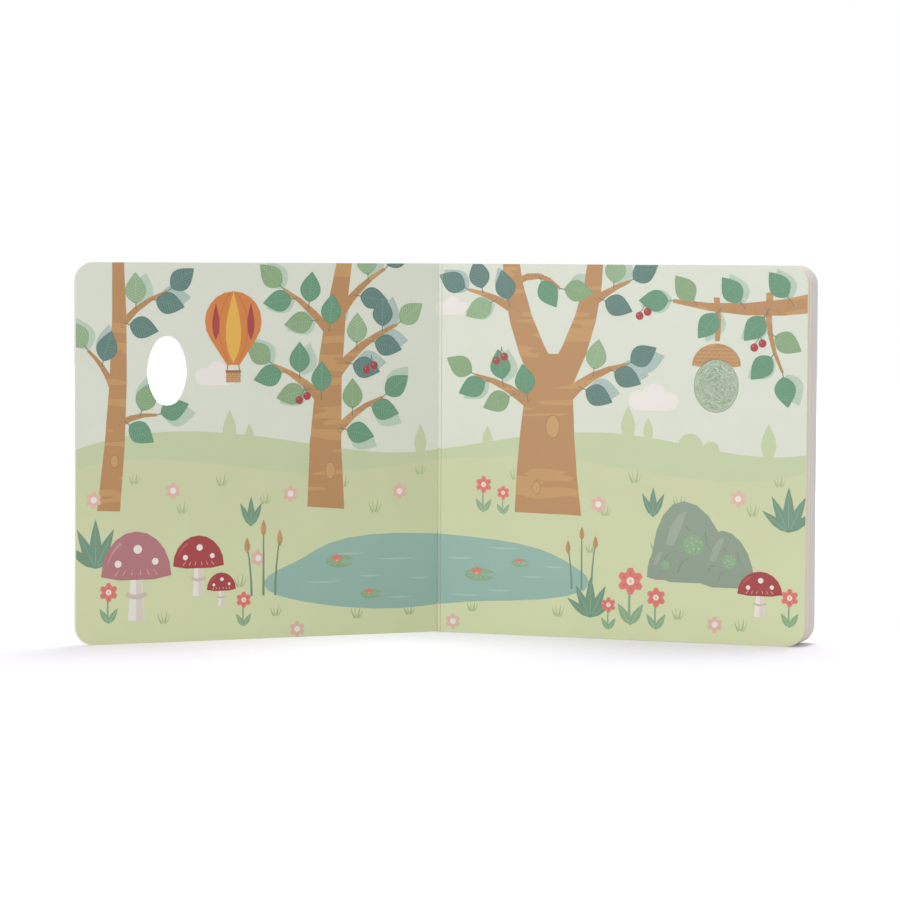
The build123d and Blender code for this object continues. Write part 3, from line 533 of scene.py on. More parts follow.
def veinTree():
    tree, given = newTree(
        "leafVeins", Int=["Veins a side"], Float=["Vein width", "Lift", "Belly"], Material=["Ink"])
    row = geo(tree, "MeshLine", {
        "Count": given["Veins a side"], "Start Location": (0.1, 0, 0), "Offset": (0.78, 0, 0),
    }, mode="END_POINTS")
    rib = geo(tree, "CurvePrimitiveLine", {"Start": (0.0, 0, 0), "End": (0.93, 0, 0)})
    vein = geo(tree, "CurveQuadraticBezier", {
        "Resolution": 4, "Start": (0, 0, 0), "Middle": (0.05, 0, 0.27), "End": (0.15, 0, 0.43),
    })
    along = axes(tree, geo(tree, "InputPosition"))[0]
    reach = calc(tree, "POWER", plus(tree, along, 0.12), given["Belly"])
    swell = calc(tree, "SINE", times(tree, reach, pi))
    halves = []
    for way in (1.0, -1.0):
        size = vector(tree, 1.0, 1.0, times(tree, swell, way))
        halves.append(geo(tree, "InstanceOnPoints", {"Points": row, "Instance": vein, "Scale": size}))
    sprig = geo(tree, "RealizeInstances", {"Geometry": joined(tree, rib, *halves)})
    facts = [geo(tree, "InputNamedAttribute", {"Name": label}) for label in ("turn", "long", "wide")]
    turn, long, wide = facts
    sprigs = geo(tree, "InstanceOnPoints", {
        "Points": given["Geometry"], "Instance": sprig, "Scale": vector(tree, long, 1.0, wide),
        "Rotation": vector(tree, 0.0, times(tree, turn, -1.0), 0.0),
    })
    lines = geo(tree, "RealizeInstances", {"Geometry": sprigs})
    radius = times(tree, given["Vein width"], 0.5)
    profile = geo(tree, "CurvePrimitiveCircle", {"Resolution": 4, "Radius": radius})
    tubes = geo(tree, "CurveToMesh", {"Curve": lines, "Profile Curve": profile, "Fill Caps": True})
    flat = geo(tree, "Transform", {
        "Geometry": tubes, "Scale": (1.0, 0.07, 1.0),
        "Translation": vector(tree, 0.0, times(tree, given["Lift"], -1.0), 0.0),
    })
    endTree(tree, flat, given["Ink"])
    return tree


def kept(p, body):  # moves a point of the print back onto the sheet, clear of edges and opening
    margin, corner = printing["margin"], printing["corner"]
    low, high = spans[body]
    x = min(max(p.x, low.x + margin), high.x - margin)
    z = min(max(p.y, margin), pageHeight - margin)
    edge, inward = (high.x, -1) if body == "pages" else (low.x, 1)
    turnX = edge + inward * corner
    turnZ = corner if z < pageHeight / 2 else pageHeight - corner
    out = at(x - turnX, z - turnZ)
    if out.x * inward < 0 and out.y * (turnZ - pageHeight / 2) > 0 and out.length > corner - margin:
        out.length = corner - margin
        x, z = turnX + out.x, turnZ + out.y
    centre, half = openings[body]
    away = at((x - centre.x) / (half.x + margin), (z - centre.y) / (half.y + margin))
    if 0 < away.length < 1:
        away.normalize()
        x, z = centre.x + away.x * (half.x + margin), centre.y + away.y * (half.y + margin)
    return at(x, z)


def isKept(p, body):
    return (kept(p, body) - p).length < printing["margin"] / 100


def trimmed(mesh, body):  # leaves out the strokes that run off the sheet, and closes what is left
    build = bmesh.new()
    build.from_mesh(mesh)
    outside = [v for v in build.verts if not isKept(v.co.xz, body)]
    bmesh.ops.delete(build, geom=outside, context="VERTS")
    bmesh.ops.holes_fill(build, edges=[edge for edge in build.edges if edge.is_boundary], sides=0)
    build.to_mesh(mesh)
    build.free()


def printLeaves(tone, body, places, lift, growth):  # places are roots and angles
    leafColour, veinColour = leafTones[tone]
    size = (leafPrint["length"] * growth, leafPrint["width"] * growth)
    rims = [[kept(p, body) for p in leafRim(root, angle, *size)] for root, angle in places]
    flatPrint("leaves_" + tone + "_" + body, rims, body, lift, ink("leaf_" + tone, leafColour))
    seed = bpy.data.meshes.new("leafRoots")
    seed.from_pydata([(root.x, 0, root.y) for root, _ in places], [], [])
    facts = {
        "turn": [angle for _, angle in places],
        "long": size[:1] * len(places), "wide": size[1:] * len(places),
    }
    for name, values in facts.items():
        seed.attributes.new(name, "FLOAT", "POINT").data.foreach_set("value", values)
    piece = grow("leaf_veins_" + tone + "_" + body, seed, leafVeinTree, {
        "Veins a side": leafPrint["veins"], "Vein width": leafPrint["veinWidth"],
        "Lift": lift + printing["decal"], "Belly": leafPrint["belly"],
        "Ink": ink("veins_" + tone, veinColour),
    })
    trimmed(piece.data, body)
    piece.data.transform(sides[body])
    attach(piece, body)


def printBoughs():  # leaves in four tones, a paler second leaf behind most of them, and their stalks
    for body in sides:
        tones = {tone: [] for tone in leafTones}
        stalks = []
        for index, (joint, root, angle, tone) in enumerate(leafPlaces(body)):
            tones[tone].append((root, angle))
            if index % 3 != 1:
                way = 1 if index % 2 else -1
                place = root + at(leafPrint["shift"], leafPrint["sideShift"] * way)
                behind = "misty" if tone == "sea" else "pale"
                tones[behind].append((place, angle + way * radians(leafPrint["lean"])))
            inner = root + at(cos(angle), sin(angle)) * leafPrint["stalk"]
            if isKept(inner, body) and isKept(joint, body):
                stalks.append(strip([joint, root, inner], leafPrint["stalkWidth"], leafPrint["stalkTip"]))
        for tone, places in tones.items():
            level = {"green": "foliage", "sea": "foliage", "pale": "far", "misty": "far"}.get(tone, "stems")
            printLeaves(tone, body, places, lifts[level], leafPrint["growth"] if level == "far" else 1.0)
        flatPrint("leaf_stalks_" + body, stalks, body, lifts["foliage"], ink("stalks", tint(104, 124, 104)))
        print("leaves and veins printed on", body)


leafVeinTree = veinTree()
printBoughs()

# Fine lines on the motifs, at the same places as their ink fields. Each kind of stroke has its
# colour, the level it lies on, and how many strokes of print it lies above that level.
strokeInks = {
    "ripple": (tint(169, 199, 189), "wood", 0), "grass": (tint(170, 186, 136), "near", 0),
    "pale_grass": (tint(187, 201, 152), "near", 1), "stem_shade": (tint(222, 212, 200), "stems", 0),
    "stem_ring": (tint(206, 192, 178), "foliage", 0), "gill": (tint(222, 168, 160), "figures", 0),
    "cap_glow": (tint(187, 88, 88), "figures", 0), "mauve_glow": (tint(196, 142, 147), "figures", 0),
    "rope": (tint(150, 104, 66), "figures", 0), "gore": (tint(187, 105, 47), "figures", 0),
    "basket": (tint(207, 166, 116), "figures", 0), "glint": (tint(214, 126, 124), "figures", 0),
    "twig": (tint(104, 124, 104), "foliage", 0), "facet": (tint(156, 171, 153), "stems", 0),
    "crack": (tint(117, 133, 117), "stems", 1), "lichen": (tint(163, 190, 156), "foliage", 0),
    "pad_vein": (tint(165, 194, 158), "stems", 0), "pollen": (tint(234, 192, 118), "figures", 0),
    "petal_line": (tint(203, 97, 90), "figures", 0), "heart": (tint(232, 190, 122), "marks", 0),
    "leaf_rib": (tint(172, 198, 165), "stems", 0), "fern_rib": (tint(142, 173, 150), "foliage", 0),
    "reed_glow": (tint(206, 160, 108), "marks", 0), "knot_ring": (tint(165, 119, 73), "wood", 0),
    "knot": (tint(199, 155, 102), "wood", 1), "hatch": (tint(167, 122, 75), "wood", 1),
    "scale": (tint(208, 166, 116), "marks", 0),
}
pen = {  # how wide the strokes are
    "tip": 0.15 * mm, "hair": 0.2 * mm, "fine": 0.3 * mm, "rib": 0.35 * mm, "plain": 0.4 * mm,
    "seam": 0.45 * mm, "bold": 0.5 * mm, "ripple": 0.9 * mm,
}
strokes = {}
patchLow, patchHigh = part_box("fleece_patch")
patchCentre, windowHalf = openings["pages"]


def stroke(kind, rim):  # takes a rim that lies on one of the leaves, and drops what runs off it
    body = "pages" if rim[0].x > 0 else "front_cover"
    if all(isKept(p, body) for p in rim):
        strokes.setdefault((kind, body), []).append(rim)


def line(kind, foot, tip, width, tipWidth=None, bow=0.0, steps=6):
    stroke(kind, strip(bowed(foot, tip, bow, steps), width, tipWidth))


def levelLine(kind, middle, reach, width, **more):
    line(kind, middle - at(reach, 0), middle + at(reach, 0), width, **more)


def heading(turn, reach):  # a step in a direction, which is given in degrees
    return at(cos(radians(turn)), sin(radians(turn))) * reach


def midRib(kind, root, turn, reach, end, width):  # middle line of a leaf, up to a share of its length
    line(kind, root + heading(turn, 0.1 * reach), root + heading(turn, end * reach), width, pen["tip"])


def drawEach(draw, rows):  # each row is a place in shares of the page, and what the motif asks for
    for across, up, *facts in rows:
        draw(spot(across, up), *facts)


def ripple(middle, half, sag):
    reach = at(half * pageWidth, 0)
    path = bowed(middle - reach, middle + reach, -sag / 2)
    swell = [pen["ripple"] * sin(pi * i / (len(path) - 1)) for i in range(len(path))]
    stroke("ripple", path + [p + at(0, rise) for p, rise in zip(path, swell)][-2:0:-1])


drawEach(ripple, [
    (-0.335, 0.148, 0.052, 0.1), (-0.262, 0.222, 0.045, 0.1), (-0.205, 0.16, 0.034, 0.12),
    (-0.13, 0.205, 0.058, 0.08), (-0.12, 0.1, 0.04, 0.1), (-0.06, 0.15, 0.03, 0.12),
    (0.055, 0.205, 0.04, 0.1), (0.07, 0.105, 0.048, 0.09), (0.165, 0.12, 0.036, 0.11),
    (0.175, 0.235, 0.05, 0.08), (0.262, 0.16, 0.038, 0.1), (0.318, 0.188, 0.03, 0.12),
])

tuft = {
    "height": 7.0 * mm, "spread": 0.42, "blades": (-1.0, -0.35, 0.4, 1.05), "width": 1.3 * mm,
    "apart": 0.8, "droop": 0.3, "bow": -0.08, "sizes": (0.85, 1.075, 0.925, 1.15, 1.0),
}
tuftPlaces = [
    (-0.86, 0.42), (-0.62, 0.41), (-0.5, 0.36), (-0.19, 0.33), (-0.28, 0.4), (-0.06, 0.43),
    (-0.78, 0.05), (-0.47, 0.06), (-0.24, 0.045), (-0.09, 0.05), (0.09, 0.06), (0.21, 0.42),
    (0.46, 0.33), (0.54, 0.42), (0.66, 0.36), (0.93, 0.42), (0.86, 0.34), (0.66, 0.06),
    (0.83, 0.035), (0.33, 0.055), (0.42, 0.23), (0.6, 0.24), (-0.73, 0.34), (-0.57, 0.14),
]


def grassTuft(foot, size):
    for index, lean in enumerate(tuft["blades"]):
        rise = tuft["height"] * size * (1 - tuft["droop"] * abs(lean))
        root = foot + at(lean * tuft["width"] * tuft["apart"], 0)
        tip = root + at(lean * tuft["spread"] * rise, rise)
        line(("grass", "pale_grass")[index % 2], root, tip, tuft["width"], pen["tip"], tuft["bow"] * lean)


drawEach(grassTuft, [(*place, tuft["sizes"][index % 5]) for index, place in enumerate(tuftPlaces)])


def toadstool(foot, glow, size, spread):
    height, cap = size * pageHeight, spread * pageWidth
    stem, capFoot = 0.16 * cap, foot + at(0, 0.5 * height)
    shade = (foot + at(0.34 * stem, 0), foot + at(0.22 * stem, 0.47 * height))
    line("stem_shade", *shade, 0.72 * stem, 0.5 * stem)
    levelLine("stem_ring", foot + at(0, 0.3 * height), 0.85 * stem, 0.05 * height, bow=-0.16)
    for share in (-0.72, -0.44, -0.16, 0.16, 0.44, 0.72):
        outer = capFoot + at(share * 0.42 * cap, 0.012 * height)
        line("gill", outer, capFoot + at(share * 0.34 * cap, 0.075 * height), pen["bold"], pen["hair"])
    turns = [radians(120 + 8 * step) for step in range(6)]
    rim = [capFoot + at(0.43 * cap * cos(t), 0.43 * height * sin(t)) for t in turns]
    stroke(glow, strip(rim, 0.045 * cap, 0.01 * cap))


drawEach(toadstool, [
    (-0.685, 0.12, "cap_glow", 0.16, 0.14), (-0.622, 0.09, "cap_glow", 0.09, 0.08),
    (-0.855, 0.06, "mauve_glow", 0.235, 0.19), (0.88, 0.075, "cap_glow", 0.12, 0.12),
])


def balloon(middle, size):
    radius = size * pageWidth
    mouth, rim = middle - at(0, 1.4 * radius), middle - at(0, 1.67 * radius)
    for side in (-1, 1):
        top = middle + at(side * 0.12 * radius, 0.96 * radius)
        line("gore", top, mouth + at(side * 0.15 * radius, 0), pen["seam"], pen["fine"], side * 0.16, 12)
        knotted = mouth + at(side * 0.19 * radius, -0.05 * radius)
        line("rope", knotted, rim + at(side * 0.23 * radius, 0), pen["plain"])
    levelLine("rope", rim, 0.27 * radius, 0.08 * radius)
    for row in range(4):
        for place in range(-2, 3):
            weft = at((place + 0.5 * (row % 2) - 0.25) * 0.098 * radius, -(0.085 + 0.075 * row) * radius)
            levelLine("basket", rim + weft, 0.034 * radius, 0.032 * radius, steps=1)


drawEach(balloon, [(-0.59, 0.845, 0.078)])


def berryPair(middle, radius):
    joint = middle + at(0.3 * radius, 3.0 * radius)
    for side in (-1, 1):
        berry = middle + at(side * radius, side * radius / 2)
        line("twig", berry + at(0, 0.8 * radius), joint, pen["plain"], pen["fine"], side * 0.12)
        glint = berry + at(-0.32 * radius, 0.34 * radius)
        stroke("glint", ovalRim(glint, 0.24 * radius, 0.17 * radius, 8))


berryPlaces = [(-0.205, 0.72), (-0.395, 0.64), (0.165, 0.745), (0.56, 0.87), (0.87, 0.79)]
drawEach(berryPair, [(*place, 2.2 * mm) for place in berryPlaces])

facetShares = [(-0.62, 0.42), (-0.5, 0.66), (-0.27, 0.83), (-0.08, 0.87), (-0.2, 0.66), (-0.42, 0.4)]
crackShares = [
    [(-0.3, 0.05), (-0.18, 0.2), (-0.02, 0.24)], [(0.4, 0.6), (0.45, 0.42), (0.6, 0.32)],
    [(-0.1, 0.66), (0.02, 0.6)], [(0.55, 0.16), (0.68, 0.14)], [(-0.66, 0.22), (-0.54, 0.3)],
]


def stone(foot, width, height):
    half, top = width * pageWidth, 2 * height * pageHeight

    def on(*shares):
        return [foot + at(across * half, up * top) for across, up in shares]

    stroke("facet", on(*facetShares))
    for crack in crackShares:
        stroke("crack", strip(on(*crack), 0.022 * half, 0.008 * half))
    for step in range(9):  # flecks of lichen wind outwards from the middle of their patch
        fleck = on((0.1, 0.42))[0] + heading(137.5 * step, 0.072 * half * sqrt(step))
        stroke("lichen", ovalRim(fleck, 0.03 * half, 0.024 * half, 8))


drawEach(stone, [(0.69, 0.175, 0.105, 0.1), (0.79, 0.16, 0.075, 0.07), (0.62, 0.17, 0.045, 0.04)])


def lilyPad(middle, size):
    half = size * pageWidth
    for step in range(1, 9):
        vein = heading(40 * step, half)
        tip = middle + at(0.86 * vein.x, 0.86 * 0.42 * vein.y)
        line("pad_vein", middle.lerp(tip, 0.25), tip, pen["fine"], pen["tip"])
    stroke("pollen", ovalRim(middle + at(-0.2 * half, 0.07 * half), 0.1 * half, 0.06 * half, 8))


drawEach(lilyPad, [(-0.29, 0.2, 0.04), (-0.2, 0.11, 0.03), (0.11, 0.16, 0.042), (0.225, 0.195, 0.026)])


def daisy(root, size):
    height = size * pageHeight
    head, radius = root + at(0, 0.78 * height), 0.24 * height
    for step in range(6):
        for lean, reach in ((22, 0.7), (38, 0.7), (30, 0.8)):
            foot = head + heading(60 * step + 30, 0.42 * radius)
            tip = head + heading(60 * step + lean, reach * radius)
            line("petal_line", foot, tip, 0.05 * radius, 0.02 * radius, steps=2)
    stroke("heart", ovalRim(head, 0.14 * radius, 0.14 * radius, 10))
    for turn in (58, 122):
        midRib("leaf_rib", root, turn, 0.45 * height, 0.85, pen["rib"])


drawEach(daisy, [
    (-0.93, 0.055, 0.105), (-0.56, 0.035, 0.09), (0.53, 0.04, 0.15), (0.6, 0.03, 0.11),
    (0.47, 0.025, 0.085), (0.96, 0.05, 0.1), (0.12, 0.33, 0.095), (0.175, 0.325, 0.075),
])


def fern(root, size, count):
    for index in range(count):
        place = index - (count - 1) / 2
        reach = size * pageHeight * (1 - 0.12 * abs(place))
        midRib("fern_rib", root, 90 + 26 * place, reach, 0.88, pen["plain"])


drawEach(fern, [
    (-0.965, 0.2, 0.13, 5), (0.42, 0.055, 0.11, 5), (0.955, 0.3, 0.12, 5),
    (-0.54, 0.3, 0.08, 3), (0.59, 0.33, 0.08, 3),
])


def reeds(foot, size):
    height = size * pageHeight
    width = height / 14
    for place, share in ((-1, 0.75), (0, 1.0), (1, 0.85)):
        head = foot + at(3.6 * width * place, share * height - height / 8)
        low, high = at(-0.2 * width, 0.06 * height), at(-0.12 * width, 0.18 * height)
        line("reed_glow", head + low, head + high, 0.22 * width, 0.1 * width, 0.05)


drawEach(reeds, [(-0.505, 0.115, 0.18), (0.395, 0.13, 0.15)])


def knot(middle, half, rise):  # half width and half height in millimetres
    stroke("knot_ring", ovalRim(middle, (half + 0.3) * mm, (rise + 0.4) * mm, 24))
    stroke("knot", ovalRim(middle, half * mm, rise * mm, 24))


drawEach(knot, [
    (-0.318, 0.445, 2.6, 4.4), (0.312, 0.565, 3.6, 6.0), (-0.914, 0.48, 1.9, 3.2), (0.268, 0.4, 2.2, 3.4),
])


def hatchBoughs():  # short strokes where a bough leaves its trunk
    for footShare, tipShare, widthShares, bow, count in sum(boughRows.values(), []):
        path = bowed(spot(*footShare), spot(*tipShare), bow, 40)
        for index in range(8, 27, 3) if count else ():
            run = path[index + 1] - path[index]
            side = 1 if index % 2 else -1
            out = at(-run.y, run.x).normalized() * boughWidth(widthShares, index / 40)
            tip = path[index] - out * (0.1 if index % 3 else 0.25) * side + run * 0.5
            line("hatch", path[index] + out * 0.42 * side, tip, pen["rib"], pen["hair"])


# The cup's half width, rise and foot are shares of the patch, its rows shares of the cup's height
cup = {"half": 0.58, "rise": 0.44, "foot": 0.4, "rows": 5, "lowest": 0.12, "pitch": 0.17, "scale": 2.7 * mm}


def cupScales():  # rows of scales on the cup of the acorn, whose nut is the fleece
    half, rise = cup["half"] * (patchHigh.x - patchLow.x), cup["rise"] * (patchHigh.z - patchLow.z)
    foot = patchCentre + at(0, cup["foot"] * (patchHigh.z - patchLow.z))
    for row in range(cup["rows"]):
        height = cup["lowest"] + cup["pitch"] * row
        reach = half * sqrt(1 - height ** 2) * 0.93
        count = max(2, round(2 * reach / cup["scale"]))
        for index in range(count):
            left = foot + at(reach * (2 * index / count - 1), height * rise)
            line("scale", left, left + at(2 * reach / count, 0), pen["fine"], bow=-0.32)


hatchBoughs()
cupScales()
for (kind, strokeBody), strokeRims in strokes.items():
    strokeColour, strokeLevel, above = strokeInks[kind]
    strokeLift = lifts[strokeLevel] + above * printing["decal"]
    flatPrint(kind + "_" + strokeBody, strokeRims, strokeBody, strokeLift, ink(kind, strokeColour))
print("fine print laid:", sum(len(rims) for rims in strokes.values()), "strokes")

# Fleece patch: a crowned pad in the window of the page, with short pile combed in rings
pile = {
    "crown": 0.3 * mm, "rim": 0.3 * mm, "bands": 10, "sides": 48, "air": 0.08 * mm,
    "ground": 0.06 * mm, "groundShares": (0.02, 0.25, 0.5, 0.75, 0.9, 1.0), "reach": 0.955,
    "fibres": 9.0e6, "length": 1.3 * mm, "thickness": 0.17 * mm, "rings": 4.6, "wave": 1.1, "seed": 7,
    "curl": 0.8, "curlScale": 150.0, "ringPitch": 1.7 * mm, "wavePitch": 0.314, "stray": 15.0,
    "backing": tint(206, 216, 190), "wool": tint(216, 228, 208),
    # the deeper green is painted shade for the partings between the curls
    "paintedPartingShade": tint(201, 221, 197), "pale": tint(236, 250, 237),
}
padHalf = windowHalf - at(pile["air"], pile["air"])


def crowned(share):  # how high the pad's face stands, at a share of the way out to its rim
    return pile["crown"] * (1 - share ** 2)


def fleecePad():
    build = bmesh.new()
    rows = []
    for band in range(pile["bands"]):
        share = 1 - band / pile["bands"]
        fall = pile["rim"] * (1 - sqrt(max(0.0, 1 - share ** 8)))
        half = (padHalf.x * share, padHalf.y * share)
        rows.append(ring(build, patchCentre, *half, fall - crowned(share), pile["sides"]))
    middle = build.verts.new((patchCentre.x, -crowned(0), patchCentre.y))
    skirt = ring(build, patchCentre, *padHalf, patchHigh.y - facingLow.y, pile["sides"])
    build.faces.new(skirt[::-1])
    for outer, inner in zip([skirt] + rows, rows):
        girdle(build, outer, inner)
    for first, second in zip(rows[-1], rows[-1][1:] + rows[-1][:1]):
        build.faces.new((first, second, middle))
    mesh = meshOf(build, "fleece_pad")
    mesh.transform(pageFrame)
    for face in mesh.polygons:
        face.use_smooth = True
    pad = meshPiece("fleece_pad", mesh, grained("paper", "fleeceBacking", pile["backing"]))
    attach(pad, "touch_button")
    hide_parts("fleece_patch")


def pileTree():
    tree, given = newTree("fleecePile", Int=["Seed"], Material=["Pile"], Float=[
        "Fibres an area", "Fibre length", "Fibre width", "Rings", "Wave", "Half width", "Half height",
        "Curl", "Curl scale",
    ])
    scatter = geo(tree, "DistributePointsOnFaces", {
        "Mesh": given["Geometry"], "Density": given["Fibres an area"], "Seed": given["Seed"],
    })
    place = axes(tree, geo(tree, "InputPosition"))
    across = calc(tree, "DIVIDE", place[0], given["Half width"])
    up = calc(tree, "DIVIDE", place[2], given["Half height"])
    squares = [calc(tree, "POWER", calc(tree, "ABSOLUTE", share), 2.0) for share in (across, up)]
    out = calc(tree, "SQRT", plus(tree, *squares))
    stir = shading(tree, "TexNoise", {"Scale": given["Curl scale"], "Detail": 1.0})[0]
    strayed = times(tree, calc(tree, "SUBTRACT", stir, 0.5), given["Curl"])
    phase = times(tree, plus(tree, out, strayed), given["Rings"])
    wave = calc(tree, "SINE", times(tree, phase, 2 * pi))
    chance = addNode(tree, "FunctionNodeRandomValue", {2: -0.5, 3: 0.5, "Seed": given["Seed"]})[1]
    swirl = plus(tree, times(tree, wave, given["Wave"]), chance)
    combed = plus(tree, calc(tree, "ARCTAN2", up, across), pi / 2)  # along the rings
    lie = times(tree, plus(tree, combed, swirl), -1.0)
    # Fibres are shorter near the rim, and longer on the crest of each ring
    growth = calc(tree, "SUBTRACT", 1.0, times(tree, calc(tree, "POWER", out, 6.0), 0.45))
    crest = plus(tree, times(tree, wave, 0.16), 0.95)
    size = times(tree, times(tree, growth, crest), given["Fibre length"])
    bent = geo(tree, "CurveQuadraticBezier", {
        "Resolution": 4, "Start": (0, 0, 0), "Middle": (0.15, -0.34, 0), "End": (0.95, -0.34, 0),
    })
    along = geo(tree, "SplineParameter")
    fade = calc(tree, "SUBTRACT", 1.0, times(tree, along, 0.6))
    radius = calc(tree, "DIVIDE", given["Fibre width"], times(tree, given["Fibre length"], 2.0))
    tapered = geo(tree, "SetCurveRadius", {"Curve": bent, "Radius": times(tree, fade, radius)})
    fibre = geo(tree, "CurveToMesh", {
        "Curve": tapered, "Scale": geo(tree, "InputRadius"), "Fill Caps": True,
        "Profile Curve": geo(tree, "CurvePrimitiveCircle", {"Resolution": 3, "Radius": 1.0}),
    })
    endTree(tree, geo(tree, "InstanceOnPoints", {
        "Points": scatter, "Instance": fibre, "Rotation": vector(tree, 0.0, lie, 0.0),
        "Scale": vector(tree, size, size, size),
    }), given["Pile"])
    return tree


def fleeceFibre():  # pale wool, with deeper green in wavy rings as painted shade where the curls part
    made, tree = newMaterial("fleecePile", pile["wool"], 0.9, Sheen_Weight=0.3, Sheen_Roughness=0.5)
    centre = pageFrame @ Vector((patchCentre.x, 0, patchCentre.y))
    curls = {
        "Vector": objectPlace(tree, shift=-centre), "Scale": pile["wavePitch"] / pile["ringPitch"],
        "Distortion": pile["stray"], "Detail": 2.0, "Detail Scale": 1.6,
    }
    rings = shading(tree, "TexWave", curls, wave_type="RINGS", rings_direction="SPHERICAL")["Fac"]
    colour = mixed(tree, between(tree, rings, 0, 1, 0.15, 0.6), pile["paintedPartingShade"], pile["pale"])
    paint(tree, colour, between(tree, grain(tree, objectPlace(tree), 2400, 2), 0.92, 1.08))
    return made


def fleecePile():
    build = bmesh.new()
    rings = [
        ring(build, at(0, 0), padHalf.x * share * pile["reach"], padHalf.y * share * pile["reach"],
             pile["ground"] - crowned(share), pile["sides"])
        for share in pile["groundShares"]
    ]
    build.faces.new(rings[0])
    for inner, outer in zip(rings, rings[1:]):
        girdle(build, outer, inner)
    piece = grow("fleece_pile", meshOf(build, "pileGround"), pileTree(), {
        "Fibres an area": pile["fibres"], "Fibre length": pile["length"], "Fibre width": pile["thickness"],
        "Rings": pile["rings"], "Wave": pile["wave"], "Half width": padHalf.x, "Half height": padHalf.y,
        "Curl": pile["curl"], "Curl scale": pile["curlScale"], "Seed": pile["seed"], "Pile": fleeceFibre(),
    })
    piece.data.transform(pageFrame @ Matrix.Translation((patchCentre.x, 0, patchCentre.y)))
    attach(piece, "touch_button")
    print("fleece pile:", len(piece.data.polygons), "faces")


fleecePad()
fleecePile()

# Contact dome under the key: thin rubber that goes flat as the pin comes down on it. Each skin has
# rings at shares of the dome's radius and height.
dome = {
    "outerShares": [(1.0, 0.0), (1.0, 0.16), (0.9, 0.2), (0.62, 0.8), (0.56, 0.94), (0.46, 1.0)],
    "innerShares": [(0.42, 0.66), (0.5, 0.58), (0.8, 0.0)], "sides": 48, "air": 0.05 * mm,
}


def contactDome():
    low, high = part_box("contact_dome")
    radius, rise = (high.x - low.x) / 2, high.y - low.y
    build = bmesh.new()
    outer, inner = [[
        ring(build, ((low + high) / 2).xz, radius * out, radius * out, high.y - up * rise, dome["sides"])
        for out, up in shares] for shares in (dome["outerShares"], dome["innerShares"])]
    for first, second in (*zip(outer, outer[1:]), *zip(inner, inner[1:]), (inner[-1], outer[0])):
        girdle(build, first, second)
    build.faces.new(outer[-1])
    build.faces.new(inner[0])
    piece = meshPiece("key_dome", meshOf(build, "key_dome", closed=True), finishes["dome"])
    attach(piece, "back_cover")
    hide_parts("contact_dome")
    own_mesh(piece)


contactDome()

# Folds: the sheets run on over the hinges, so strips about each hinge line bend between the bodies
fold = {"steps": 10, "sheet": 0.15 * mm}
stripLow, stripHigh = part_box("gutter_strip")
sheetFace, sheetBack, spineFace = stripLow.y, stripHigh.y, stripLow.x


def foldStrip(name, innerLine, outerLine, material):
    build = bmesh.new()
    outline = innerLine + outerLine[::-1]
    foot, head = [[build.verts.new((p.x, p.y, height)) for p in outline] for height in (0.0, pageHeight)]
    build.faces.new(head)
    build.faces.new(foot[::-1])
    girdle(build, foot, head)
    piece = meshPiece(name, meshOf(build, name, closed=True), material)
    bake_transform(piece)


def evenly(first, last):
    return [first + (last - first) * i / fold["steps"] for i in range(fold["steps"] + 1)]


def arcAbout(hinge, first, last):  # the way round behind the hinge, at the radius of the first point
    near, far = first - hinge, last - hinge
    begin, end = atan2(near.y, near.x), atan2(far.y, far.x)
    end += 2 * pi if end < begin else 0
    return [hinge + at(cos(a), sin(a)) * near.length for a in evenly(begin, end)]


def gutterBands(tree):  # the print runs on over the fold in bands of ground, water and sky
    reach = {}
    for name in ("meadow", "hill", "water"):
        vertices = nodes["page_print_" + name].data.vertices
        near = [vertex.co.z for vertex in vertices if vertex.co.x < facingLow.x + mm]
        reach[name] = (min(near), max(near))
    bands = [
        (0.0, "meadow"), (reach["water"][0], "water"), (reach["water"][1], "meadow"),
        (reach["meadow"][1], "hill"), (reach["hill"][1], "sky"),
    ]
    ramp = tree.nodes.new("ShaderNodeValToRGB")
    tree.links.new(between(tree, axes(tree, objectPlace(tree))[2], 0, 1, 0, pageHeight), ramp.inputs[0])
    ramp.color_ramp.interpolation = "CONSTANT"
    stops = ramp.color_ramp.elements
    for index, (height, name) in enumerate(bands):
        stop = stops[index] if index < len(stops) else stops.new(height / pageHeight)
        stop.position = height / pageHeight
        stop.color = inkColours[name]
    return ramp.outputs["Color"]


def foldAll():
    hinge = coverHinge.xy
    coverSide = coverTurn @ Matrix.Translation(-coverHinge)
    mirrored = 2 * coverHinge.x - spineFace  # the cover's spine edge while it lies flat
    paper, cloth = printedCoat("gutterPrint", inkColours["sky"], gutterBands), finishes["outer"]
    arcs = []
    for depth in (sheetFace, sheetBack, sheetBack + fold["sheet"]):
        onCover = (coverSide @ Vector((mirrored, depth, 0))).xy
        arcs.append(arcAbout(hinge, at(spineFace, depth), onCover))
    foldStrip("gutter_fold", arcs[0], arcs[1], paper)
    foldStrip("spine_fold", arcs[1], arcs[2], cloth)
    steps = evenly(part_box("spine_wrap")[1].y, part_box("back_lining")[0].y)
    face, inside = [[at(x, y) for y in steps] for x in (spineFace, spineFace + fold["sheet"])]
    foldStrip("back_fold", face, inside, cloth)
    for materialSlot in nodes["gutter_strip"].material_slots:
        materialSlot.material = paper


foldAll()
print("folds laid")
